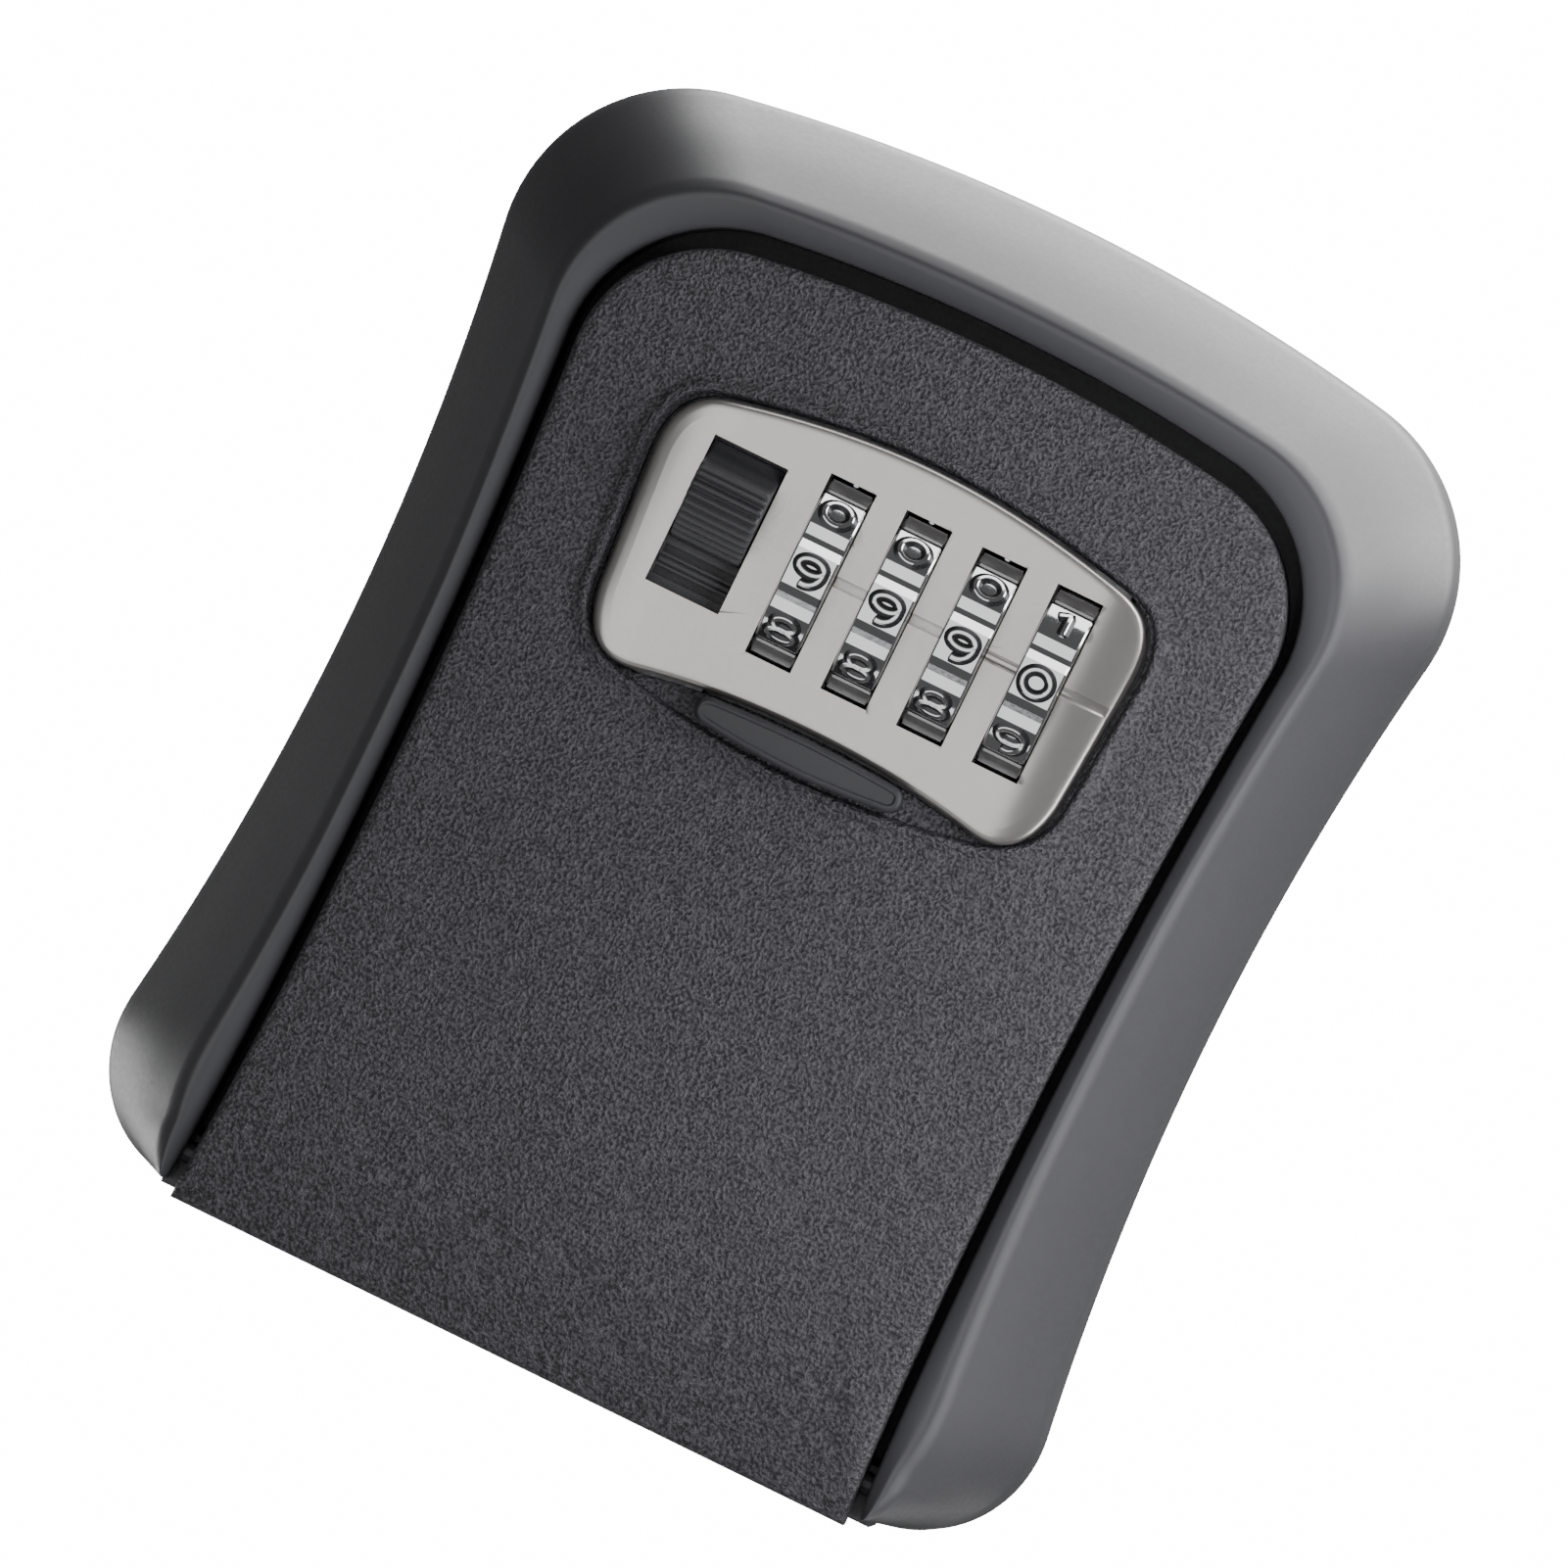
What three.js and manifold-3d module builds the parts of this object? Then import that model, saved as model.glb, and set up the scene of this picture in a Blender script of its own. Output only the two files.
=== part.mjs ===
// Wall-mounted key lock box with four number wheels, in millimetres.
// +Z is up, the front faces -Y, and the origin is the middle of the back face, which lies on the wall.
import * as THREE from "three";
import { mergeVertices } from "three/addons/utils/BufferGeometryUtils.js";
import Module from "manifold-3d";

const wasm = await Module();
wasm.setup();

// ---- driving dimensions ----

// An arched outline: a flat top arc, round corners, and sides that draw in at a waist.
const BODY = { apex: 59.9, topRadius: 191, waist: 45.1, waistZ: -5, sideRadius: 272, cornerRadius: 17.8 };
const OPENING = { apex: 47.9, topRadius: 172, waist: 35.4, waistZ: -22, sideRadius: 700, cornerRadius: 15.2 };
const DOOR = { apex: 45.4, topRadius: 170, waist: 33.95, waistZ: -22, sideRadius: 640, cornerRadius: 13.5 };
const LOBE = { x: 37.1, z: -46.3, width: 11, height: 11.8 }; // quarter ellipse at each foot of the frame

// Depths, from the wall towards the front.
const BACK_PLATE = -3;
const TRAY_FRONT = -19;
const EDGE_Y = -14.3; // where the frame's side wall ends and its slope begins
const LIP_REAR = -20.5; // rear end of the wall that lines the door opening
const LIP_FRONT = -29.2;
const CREST = -31.4;
const DOOR_FRONT = -32;
const DOOR_SKIN = 2.2;
const FLANGE_REAR = -21.3;
const PLATE_FRONT = -34.4;
const PLATE_SKIN = 1.8;
const LATCH = { front: -16.6, rear: -15.2 };
const COVER = { front: -14.6, rear: -13.2 };

const FRAME_WALL = 2.2;
const SIDE_DRAFT = 0.4;
const SNUG = 0.35; // gap between pieces that touch
const DOOR_BOTTOM = -59.4;
const TRAY_BOTTOM = -52.6;
const CASE_BOTTOM = -56.8;
const TRAY_WALL = 1.8;
const LEDGE = 1.5; // the tray's rim reaches this far out and is as thick

const HINGE = { y: -26.8, z: -55, pin: 1.2, hole: 1.3 };

// The combination module, centred on the wheel axle.
const AXLE = { y: -27.6, z: 19.25, radius: 1.5 };
const WHEEL = { radius: 10.2, groove: 9.3, width: 4.3, bore: 4, pads: 10, pitch: 7.85, first: -6.45 };
const WHEEL_WINDOW = { width: 4.7, low: 10, high: 28.5 };
const LEVER_WINDOW = { left: -20.15, right: -12.55, low: 12, high: 27 };
const HOOK_TOP = 41;
const CARRIER = { left: -11.1, right: 19.8, low: 7.9, high: 29.75, wall: 1.5, rear: -17.1, front: -29.2 };
const STEM = { left: -19.2, right: -14.6, low: 16, high: 22.5, rear: -17 };
const RIVETS = [17.7, 20.8];
const SPRING = { radius: 2.2, wire: 0.4, turns: 5, low: 6.3, high: 15.1, y: -24 };
const RESET = { x: 7, z: 20 };

// The right half of the dial plate's outline from bottom to top: [control x, z, end x, z].
const PLATE_BOTTOM = 5.75;
const PLATE_HALF = [
  [9.5, 5.75, 17.5, 4.05],
  [22.7, 3.0, 23.8, 9.5],
  [24.3, 15.5, 24.95, 23.5],
  [25.2, 29.2, 20.5, 30.35],
  [9.5, 33, 0, 33],
];
const PLATE_CENTRE_Z = 18.4;
const PLATE_REACH = { x: 24.4, z: 14 }; // half its width and height, from its centre

// The strike plate under the top of the tray, and the rail that closes the frame below the door.
const STRIKE = { half: 16, low: 42.4, high: 43.4, lip: 42, rivetX: 12, rivetY: -10 };
const RAIL = { half: 37, low: -58.8, high: -57.1, lipTop: -53.2, front: -20.8, lipRear: -18.3, rear: -3.3 };

const CASE_SCREWS = [[42.3, 30], [-42.3, 30], [41, -38], [-41, -38]];
const WALL_HOLES = [[24, 41], [-24, 41], [24, -44], [-24, -44]];
const MODULE_SCREWS = [[23.5, 36.2], [-23.5, 36.2], [21, -0.2], [-21, -0.2]];

// ---- materials ----

const paint = (color, roughness, metalness = 0) =>
  new THREE.MeshStandardMaterial({ color, roughness, metalness });
const MATERIALS = {
  frame: paint(0x3a3a3e, 0.45, 0.2),
  door: paint(0x46464b, 0.75, 0.1),
  plate: paint(0xbab6b2, 0.5),
  blackPlastic: paint(0x222226, 0.5),
  chrome: paint(0xd8dadc, 0.12, 1),
  steel: paint(0xa6a8ab, 0.35, 1),
  brass: paint(0xb9974e, 0.35, 1),
  rubber: paint(0x18181a, 0.85),
};

// ---- solids and booleans ----

function solidOf(geometry) {
  const bare = geometry.clone();
  bare.deleteAttribute("normal");
  bare.deleteAttribute("uv");
  const merged = mergeVertices(bare, 1e-4);
  return new wasm.Manifold(
    new wasm.Mesh({
      numProp: 3,
      vertProperties: new Float32Array(merged.attributes.position.array),
      triVerts: new Uint32Array(merged.index.array),
    }),
  );
}

function geometryOf(solid) {
  const mesh = solid.getMesh();
  return new THREE.BufferGeometry()
    .setAttribute("position", new THREE.BufferAttribute(new Float32Array(mesh.vertProperties), 3))
    .setIndex(new THREE.BufferAttribute(new Uint32Array(mesh.triVerts), 1));
}

const join = (...parts) => geometryOf(parts.map(solidOf).reduce((a, b) => a.add(b)));
const cut = (body, ...tools) => geometryOf(tools.map(solidOf).reduce((a, b) => a.subtract(b), solidOf(body)));

// ---- plain shapes ----

function box([x0, x1], [y0, y1], [z0, z1]) {
  const block = new THREE.BoxGeometry(x1 - x0, y1 - y0, z1 - z0);
  return block.translate((x0 + x1) / 2, (y0 + y1) / 2, (z0 + z1) / 2);
}

// A round bar along X, Y or Z between two stations, at the other two coordinates.
function bar(axis, radius, from, to, a, b, sides = 20) {
  const rod = new THREE.CylinderGeometry(radius, radius, to - from, sides);
  const middle = (from + to) / 2;
  if (axis === "x") return rod.rotateZ(Math.PI / 2).translate(middle, a, b);
  if (axis === "y") return rod.translate(a, middle, b);
  return rod.rotateX(Math.PI / 2).translate(a, b, middle);
}

// A shape drawn in X and Z, given thickness from rear to front along -Y.
function slab(shape, rear, front, curveSegments = 6) {
  const options = { depth: rear - front, bevelEnabled: false, curveSegments };
  return new THREE.ExtrudeGeometry(shape, options).rotateX(Math.PI / 2).translate(0, rear, 0);
}

// A shape drawn in Y and Z, given thickness along X.
function slice(shape, from, to) {
  const turn = new THREE.Matrix4().makeBasis(
    new THREE.Vector3(0, 1, 0),
    new THREE.Vector3(0, 0, 1),
    new THREE.Vector3(1, 0, 0),
  );
  const options = { depth: to - from, bevelEnabled: false, curveSegments: 6 };
  return new THREE.ExtrudeGeometry(shape, options).applyMatrix4(turn).translate(from, 0, 0);
}

function roundedRectangle(x0, x1, z0, z1, radius) {
  const shape = new THREE.Shape();
  shape.moveTo(x0 + radius, z0);
  shape.lineTo(x1 - radius, z0);
  shape.absarc(x1 - radius, z0 + radius, radius, -Math.PI / 2, 0, false);
  shape.absarc(x1 - radius, z1 - radius, radius, 0, Math.PI / 2, false);
  shape.absarc(x0 + radius, z1 - radius, radius, Math.PI / 2, Math.PI, false);
  shape.absarc(x0 + radius, z0 + radius, radius, Math.PI, 1.5 * Math.PI, false);
  return shape;
}

// ---- arched outlines ----

const inset = (outline, by) => ({
  ...outline,
  apex: outline.apex - by,
  topRadius: outline.topRadius - by,
  waist: outline.waist - by,
  sideRadius: outline.sideRadius + by,
  cornerRadius: outline.cornerRadius - by,
});

function arc(centre, radius, from, to, steps) {
  return Array.from({ length: steps + 1 }, (_, i) => {
    const angle = from + ((to - from) * i) / steps;
    return new THREE.Vector2(centre.x + radius * Math.cos(angle), centre.y + radius * Math.sin(angle));
  });
}

const sideAngle = (outline, z) => Math.PI - Math.asin((z - outline.waistZ) / outline.sideRadius);
const sideX = (outline, z) =>
  outline.waist + outline.sideRadius + outline.sideRadius * Math.cos(sideAngle(outline, z));

// The right half of an arched outline, from a height on its side to its apex.
function halfArch(outline, bottomZ, steps = { side: 8, corner: 7, top: 6 }) {
  const top = new THREE.Vector2(0, outline.apex - outline.topRadius);
  const side = new THREE.Vector2(outline.waist + outline.sideRadius, outline.waistZ);
  const topReach = outline.topRadius - outline.cornerRadius;
  const sideReach = outline.sideRadius + outline.cornerRadius;
  const between = side.clone().sub(top);
  const distance = between.length();
  const along = (topReach ** 2 - sideReach ** 2 + distance ** 2) / (2 * distance);
  const across = Math.sqrt(topReach ** 2 - along ** 2);
  const unit = between.divideScalar(distance);
  const cornerX = unit.x * along - unit.y * across;
  const corner = new THREE.Vector2(cornerX, top.y + unit.y * along + unit.x * across);
  const cornerStart = side.clone().sub(corner).angle() - 2 * Math.PI;
  const cornerEnd = corner.clone().sub(top).angle();
  const sideEnd = corner.clone().sub(side).angle();
  return [
    ...arc(side, outline.sideRadius, sideAngle(outline, bottomZ), sideEnd, steps.side),
    ...arc(corner, outline.cornerRadius, cornerStart, cornerEnd, steps.corner).slice(1),
    ...arc(top, outline.topRadius, cornerEnd, Math.PI / 2, steps.top).slice(1),
  ];
}

const mirrored = (half) => half.slice(0, -1).reverse().map((p) => new THREE.Vector2(-p.x, p.y));
const archShape = (outline, bottomZ, steps) => {
  const half = halfArch(outline, bottomZ, steps);
  return new THREE.Shape([...half, ...mirrored(half)]);
};

function archRing(outline, thickness, bottomZ, bottomWall) {
  const shape = archShape(outline, bottomZ);
  shape.holes.push(archShape(inset(outline, thickness), bottomZ + bottomWall));
  return shape;
}

// ---- the frame ----

// One cut through the frame, as [distance in from the outline, depth] pairs round the metal.
function frameSection(width) {
  const squeeze = Math.min(1, width / 9);
  const wall = FRAME_WALL * squeeze;
  const fall = 0.16 * width;
  const slopeTop = width - fall - 0.6 * squeeze;
  const slopeFoot = 1.5 * squeeze;
  const footY = EDGE_Y - 2.5;
  const slope = (part) => [slopeFoot + (slopeTop - slopeFoot) * part, footY + (CREST + 0.4 - footY) * part];
  const bulge = (part, by) => [slope(part)[0] - by * squeeze, slope(part)[1] - by * 0.4];
  return [
    [0, 0],
    [SIDE_DRAFT * squeeze, EDGE_Y],
    [0.75 * squeeze, EDGE_Y - 1.3],
    slope(0),
    bulge(0.35, 0.3),
    bulge(0.7, 0.3),
    slope(1),
    [width - fall, CREST],
    [width - 0.45 * fall, CREST + 0.5],
    [width, LIP_FRONT],
    [width, LIP_REAR],
    [width - 0.9 * wall, LIP_REAR],
    [width - 0.9 * wall, LIP_FRONT + 3.4],
    [slopeFoot + 1.1 * wall, EDGE_Y - 1],
    [SIDE_DRAFT * squeeze + wall, EDGE_Y + 2],
    [wall, 0],
  ];
}

// The stations round the frame: where it meets the body's outline and where it meets the opening.
function frameStations() {
  const steps = { side: 8, corner: 8, top: 5 };
  const lobeSteps = 6;
  const lobeEnd = 0.147; // angle at which the foot's curve runs into the side
  const foot = Array.from({ length: lobeSteps }, (_, i) => {
    const angle = -Math.PI / 2 + ((lobeEnd + Math.PI / 2) * i) / lobeSteps;
    return new THREE.Vector2(LOBE.x + LOBE.width * Math.cos(angle), LOBE.z + LOBE.height * Math.sin(angle));
  });
  const footTop = LOBE.z + LOBE.height * Math.sin(lobeEnd);
  const outer = [...foot, ...halfArch(BODY, footTop, steps)];
  const inner = [
    ...foot.map((p) => new THREE.Vector2(sideX(OPENING, p.y), p.y)),
    ...halfArch(OPENING, footTop, steps),
  ];
  const right = outer.map((p, i) => [p, inner[i]]);
  const left = right.slice(0, -1).reverse().map(([a, b]) => [
    new THREE.Vector2(-a.x, a.y),
    new THREE.Vector2(-b.x, b.y),
  ]);
  return [...right, ...left];
}

function frameLoft() {
  const stations = frameStations();
  const position = [];
  const faces = [];
  for (const [outer, inner] of stations) {
    const width = outer.distanceTo(inner);
    for (const [along, y] of frameSection(width)) {
      const p = outer.clone().lerp(inner, along / width);
      position.push(p.x, y, p.y);
    }
  }
  const count = frameSection(10).length;
  for (let s = 0; s + 1 < stations.length; s++) {
    for (let i = 0; i < count; i++) {
      const a = s * count + i;
      const b = s * count + ((i + 1) % count);
      faces.push(a, a + count, b, b, a + count, b + count);
    }
  }
  const firstWidth = stations[0][0].distanceTo(stations[0][1]);
  const contour = frameSection(firstWidth).map(([u, y]) => new THREE.Vector2(u, y));
  const last = (stations.length - 1) * count;
  for (const [a, b, c] of THREE.ShapeUtils.triangulateShape(contour, [])) {
    faces.push(a, b, c, last + a, last + c, last + b);
  }
  const geometry = new THREE.BufferGeometry();
  geometry.setAttribute("position", new THREE.Float32BufferAttribute(position, 3));
  geometry.setIndex(faces);
  return geometry;
}

function outerFrame() {
  const bossEnd = EDGE_Y - 3.2;
  const bosses = CASE_SCREWS.map(([x, z]) => bar("y", 2.8, bossEnd, BACK_PLATE - SNUG, x, z, 16));
  const threads = CASE_SCREWS.map(([x, z]) => bar("y", 1.8, EDGE_Y, 0, x, z, 12));
  const pinHoles = [-1, 1].map((side) => {
    const ends = [side * 34, side * 38.3].sort((a, b) => a - b);
    return bar("x", HINGE.pin + 0.3, ...ends, HINGE.y, HINGE.z, 16);
  });
  const rail = box([-RAIL.half, RAIL.half], [RAIL.front, RAIL.rear], [RAIL.low, RAIL.high]);
  const railLip = box([-RAIL.half, RAIL.half], [RAIL.front, RAIL.lipRear], [RAIL.low, RAIL.lipTop]);
  return cut(join(frameLoft(), ...bosses, rail, railLip), ...threads, ...pinHoles);
}

// ---- the housing behind the door ----

function backPlateShape() {
  const outline = inset(BODY, FRAME_WALL + SNUG);
  const foot = new THREE.Vector2(34.5, LOBE.z);
  const half = halfArch(outline, LOBE.z + 1);
  const curve = [0, 1, 2, 3, 4, 5].map((i) => {
    const angle = -Math.PI / 2 + (Math.PI / 2) * (i / 6);
    return new THREE.Vector2(
      foot.x + (half[0].x - foot.x) * Math.cos(angle),
      foot.y + (foot.y - CASE_BOTTOM) * Math.sin(angle),
    );
  });
  const right = [...curve, ...half];
  return new THREE.Shape([...right, ...mirrored(right)]);
}

function rearCase() {
  const plate = slab(backPlateShape(), 0, BACK_PLATE);
  const wallInset = 1.6;
  const wallLine = inset(OPENING, wallInset);
  const wall = slab(archRing(wallLine, TRAY_WALL, TRAY_BOTTOM, TRAY_WALL), BACK_PLATE + 0.5, TRAY_FRONT);
  const ledgeLine = inset(OPENING, -LEDGE);
  const ledgeRing = archRing(ledgeLine, LEDGE + wallInset + TRAY_WALL, TRAY_BOTTOM, TRAY_WALL);
  const ledge = slab(ledgeRing, TRAY_FRONT + LEDGE, TRAY_FRONT);
  const floor = box([-39, 39], [TRAY_FRONT + 1, BACK_PLATE + 0.5], [CASE_BOTTOM, CASE_BOTTOM + 1.6]);
  const wallHoles = WALL_HOLES.map(([x, z]) => bar("y", 2.7, BACK_PLATE - 1, 1, x, z, 16));
  const pockets = CASE_SCREWS.map(([x, z]) => bar("y", 3.1, -1.8, 1, x, z, 16));
  const shanks = CASE_SCREWS.map(([x, z]) => bar("y", 1.9, BACK_PLATE - 1, 1, x, z, 16));
  const rivets = [-1, 1].map((side) => bar("z", 1.5, 42, 48, side * STRIKE.rivetX, STRIKE.rivetY, 12));
  return cut(join(plate, wall, ledge, floor), ...wallHoles, ...pockets, ...shanks, ...rivets);
}

// A small angle bracket: a leg under the tray's top wall and a lip that the hooks catch behind.
function strikePlate() {
  const leg = box([-STRIKE.half, STRIKE.half], [-17.8, -5], [STRIKE.low, STRIKE.high]);
  const lip = box([-STRIKE.half, STRIKE.half], [-18.6, -17.4], [STRIKE.lip, STRIKE.high]);
  const holes = [-1, 1].map((side) => bar("z", 1.5, 41, 45, side * STRIKE.rivetX, STRIKE.rivetY, 12));
  return cut(join(leg, lip), ...holes);
}

function strikeRivet(side) {
  const x = side * STRIKE.rivetX;
  const head = bar("z", 2.3, 41.2, STRIKE.low - 0.3, x, STRIKE.rivetY, 12);
  const shank = bar("z", 1.1, 41.5, 45.6, x, STRIKE.rivetY, 12);
  return join(head, shank);
}

function doorSeal() {
  return slab(archRing(inset(OPENING, 0.3), 2.7, TRAY_BOTTOM + 0.2, 1.4), TRAY_FRONT - 0.3, TRAY_FRONT - 1.9);
}

function keyHook() {
  const base = bar("y", 4, -4.6, BACK_PLATE - 0.3, 0, 42.4 - 4, 20);
  const route = new THREE.CurvePath();
  const p = (y, z) => new THREE.Vector3(0, y, z);
  route.add(new THREE.LineCurve3(p(-4, 38.4), p(-7, 38.4)));
  route.add(new THREE.QuadraticBezierCurve3(p(-7, 38.4), p(-10.5, 38.4), p(-10.5, 41.2)));
  const section = new THREE.Shape();
  section.absarc(0, 0, 1, 0, 2 * Math.PI, false);
  const options = { steps: 10, curveSegments: 5, bevelEnabled: false, extrudePath: route };
  return join(base, new THREE.ExtrudeGeometry(section, options));
}

function hingePin(side) {
  const ends = [side * 31.6, side * 38].sort((a, b) => a - b);
  return bar("x", HINGE.pin, ...ends, HINGE.y, HINGE.z, 24);
}

// A screw driven from the wall side: its head at the rear and a cross slot in the head.
function screw(x, z, { rear, head, headDepth, shank, tip }) {
  const screwHead = bar("y", head, rear - headDepth, rear, x, z, 16);
  const screwShank = bar("y", shank, tip, rear - 0.2, x, z, 10);
  const slotHalf = head * 0.6;
  const slotWidth = 0.35;
  const slots = [[slotHalf, slotWidth], [slotWidth, slotHalf]].map(([halfX, halfZ]) =>
    box([x - halfX, x + halfX], [rear - headDepth / 2, rear + 1], [z - halfZ, z + halfZ]),
  );
  return cut(join(screwHead, screwShank), ...slots);
}

// ---- the door ----

function plateShape(grow = 0) {
  const scale = (x, z) => [
    x * (1 + grow / PLATE_REACH.x),
    PLATE_CENTRE_Z + (z - PLATE_CENTRE_Z) * (1 + grow / PLATE_REACH.z),
  ];
  const shape = new THREE.Shape();
  shape.moveTo(...scale(0, PLATE_BOTTOM));
  for (const [cx, cz, x, z] of PLATE_HALF) shape.quadraticCurveTo(...scale(cx, cz), ...scale(x, z));
  const ends = [[0, PLATE_BOTTOM], ...PLATE_HALF.map((q) => [q[2], q[3]])];
  for (let i = PLATE_HALF.length - 1; i >= 0; i--) {
    const [cx, cz] = PLATE_HALF[i];
    shape.quadraticCurveTo(...scale(-cx, cz), ...scale(-ends[i][0], ends[i][1]));
  }
  return shape;
}

function doorShell() {
  const steps = { side: 10, corner: 8, top: 6 };
  const front = archShape(DOOR, DOOR_BOTTOM, steps);
  const skin = slab(front, DOOR_FRONT + DOOR_SKIN, DOOR_FRONT);
  const flange = slab(archRing(DOOR, 1.9, DOOR_BOTTOM, 1.8), FLANGE_REAR, DOOR_FRONT + 1);
  const bosses = MODULE_SCREWS.map(([x, z]) => bar("y", 2.5, DOOR_FRONT + 1, COVER.front - 0.4, x, z, 16));
  const threads = MODULE_SCREWS.map(([x, z]) => bar("y", 1.4, -23, COVER.front + 1, x, z, 12));
  const plateHole = slab(plateShape(SNUG), DOOR_FRONT + 4, DOOR_FRONT - 1);
  const bottomRelief = box([-40, 40], [-24, -20], [DOOR_BOTTOM - 1, DOOR_BOTTOM + 2.6]);
  const sideRelief = box([-40, 40], [-23, -20], [DOOR_BOTTOM - 1, -50.5]);
  const pinHoles = bar("x", HINGE.hole, -36, 36, HINGE.y, HINGE.z, 32);
  return cut(join(skin, flange, ...bosses), ...threads, plateHole, bottomRelief, sideRelief, pinHoles);
}

const wheelX = (n) => WHEEL.first + WHEEL.pitch * n;

function dialPlate() {
  const rearOfSkin = PLATE_FRONT + PLATE_SKIN;
  const skin = slab(plateShape(), rearOfSkin, PLATE_FRONT);
  const skirtShape = plateShape();
  skirtShape.holes.push(plateShape(-1.3));
  const skirt = slab(skirtShape, -30.8, PLATE_FRONT + 0.5);
  const half = WHEEL_WINDOW.width / 2;
  const windows = [0, 1, 2, 3].map((n) =>
    box([wheelX(n) - half, wheelX(n) + half], [-36, -30], [WHEEL_WINDOW.low, WHEEL_WINDOW.high]),
  );
  const { left, right, low, high } = LEVER_WINDOW;
  const leverWindow = box([left, right], [-36, -30], [low, high]);
  return cut(join(skin, skirt), ...windows, leverWindow);
}

function fingerLip() {
  const shape = new THREE.Shape();
  shape.moveTo(-9.8, 2.3);
  shape.quadraticCurveTo(0, 1.0, 9.8, 2.3);
  shape.quadraticCurveTo(11.6, 3.2, 9.8, 4.5);
  shape.quadraticCurveTo(0, 6.0, -9.8, 4.5);
  shape.quadraticCurveTo(-11.6, 3.2, -9.8, 2.3);
  return slab(shape, DOOR_FRONT - 0.3, -36.4);
}

// ---- the combination module ----

function wheelCarrier() {
  const c = CARRIER;
  const shape = new THREE.Shape(
    [
      [c.left - c.wall, c.low - c.wall],
      [c.right + c.wall, c.low - c.wall],
      [c.right + c.wall, c.high + c.wall],
      [c.left - c.wall, c.high + c.wall],
    ].map(([x, z]) => new THREE.Vector2(x, z)),
  );
  shape.holes.push(roundedRectangle(c.left, c.right, c.low, c.high, 0.6));
  const frame = slab(shape, c.rear, c.front);
  const springShelf = box([-21, c.left - 0.5], [-27.5, -20.5], [3.9, 5.4]);
  const shelfArm = box([c.left - c.wall, c.left], [-27.5, -20.5], [3.9, c.low]);
  const axleHole = bar("x", AXLE.radius + 0.3, -14, 24, AXLE.y, AXLE.z, 20);
  return cut(join(frame, springShelf, shelfArm), axleHole);
}

function wheelAxle() {
  const pin = bar("x", AXLE.radius, -13.4, 22.8, AXLE.y, AXLE.z, 24);
  const head = bar("x", 2.6, -13.9, -12.95, AXLE.y, AXLE.z, 20);
  return join(pin, head);
}

function axleClip() {
  const ring = bar("x", 3.2, 21.65, 22.3, AXLE.y, AXLE.z, 20);
  const hole = bar("x", AXLE.radius + 0.3, 21, 23, AXLE.y, AXLE.z, 20);
  const mouth = box([21, 23], [AXLE.y - 1.2, AXLE.y + 1.2], [AXLE.z - 4, AXLE.z]);
  return cut(ring, hole, mouth);
}

// A wheel with ten raised pads, one for each digit, and a groove between each two.
function numberWheel(n) {
  const padHalf = 0.225; // half angles of a pad and of a groove's floor
  const grooveHalf = 0.065;
  const corners = [];
  for (let i = 0; i < WHEEL.pads; i++) {
    const middle = Math.PI + (2 * Math.PI * i) / WHEEL.pads;
    const grooveMiddle = middle + Math.PI / WHEEL.pads;
    corners.push(
      [middle - padHalf, WHEEL.radius],
      [middle, WHEEL.radius],
      [middle + padHalf, WHEEL.radius],
      [grooveMiddle - grooveHalf, WHEEL.groove],
      [grooveMiddle + grooveHalf, WHEEL.groove],
    );
  }
  const shape = new THREE.Shape(
    corners.map(([angle, r]) => {
      return new THREE.Vector2(AXLE.y + r * Math.cos(angle), AXLE.z + r * Math.sin(angle));
    }),
  );
  const bore = new THREE.Path();
  bore.absarc(AXLE.y, AXLE.z, WHEEL.bore, 0, 2 * Math.PI, true);
  shape.holes.push(bore);
  return slice(shape, wheelX(n) - WHEEL.width / 2, wheelX(n) + WHEEL.width / 2);
}

// The sleeve inside each wheel: a hub and a cam disc with the gate that frees the latch.
function codeSleeve(n) {
  const left = wheelX(n) - WHEEL.width / 2;
  const hub = bar("x", WHEEL.bore - 0.4, left - 1.9, left + WHEEL.width + 0.3, AXLE.y, AXLE.z, 16);
  const disc = bar("x", 4.7, left - 2, left - 0.5, AXLE.y, AXLE.z, 20);
  const bore = bar("x", AXLE.radius + 0.1, left - 3, left + WHEEL.width + 2, AXLE.y, AXLE.z, 24);
  const gate = box([left - 3, left - 0.4], [AXLE.y + 3.9, AXLE.y + 6], [AXLE.z - 1.2, AXLE.z + 1.2]);
  return cut(join(hub, disc), bore, gate);
}

function detentSpring() {
  const c = CARRIER;
  const strip = box([c.left + 0.4, c.right - 0.4], [-28.6, -18], [8.2, 8.7]);
  const slots = [0, 1, 2].map((n) => {
    const middle = wheelX(n) + WHEEL.pitch / 2;
    return box([middle - 1, middle + 1], [-29, -21], [8, 9]);
  });
  return cut(strip, ...slots);
}

function moduleCover() {
  const shape = roundedRectangle(-26.5, 26.5, -3.2, 39.2, 3);
  const holes = MODULE_SCREWS.map(([x, z]) => bar("y", 1.4, -16, -12, x, z, 12));
  const slot = box([3, 17], [-16, -12], [RESET.z - 1.3, RESET.z + 1.3]);
  return cut(slab(shape, COVER.rear, COVER.front), ...holes, slot);
}

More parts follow.
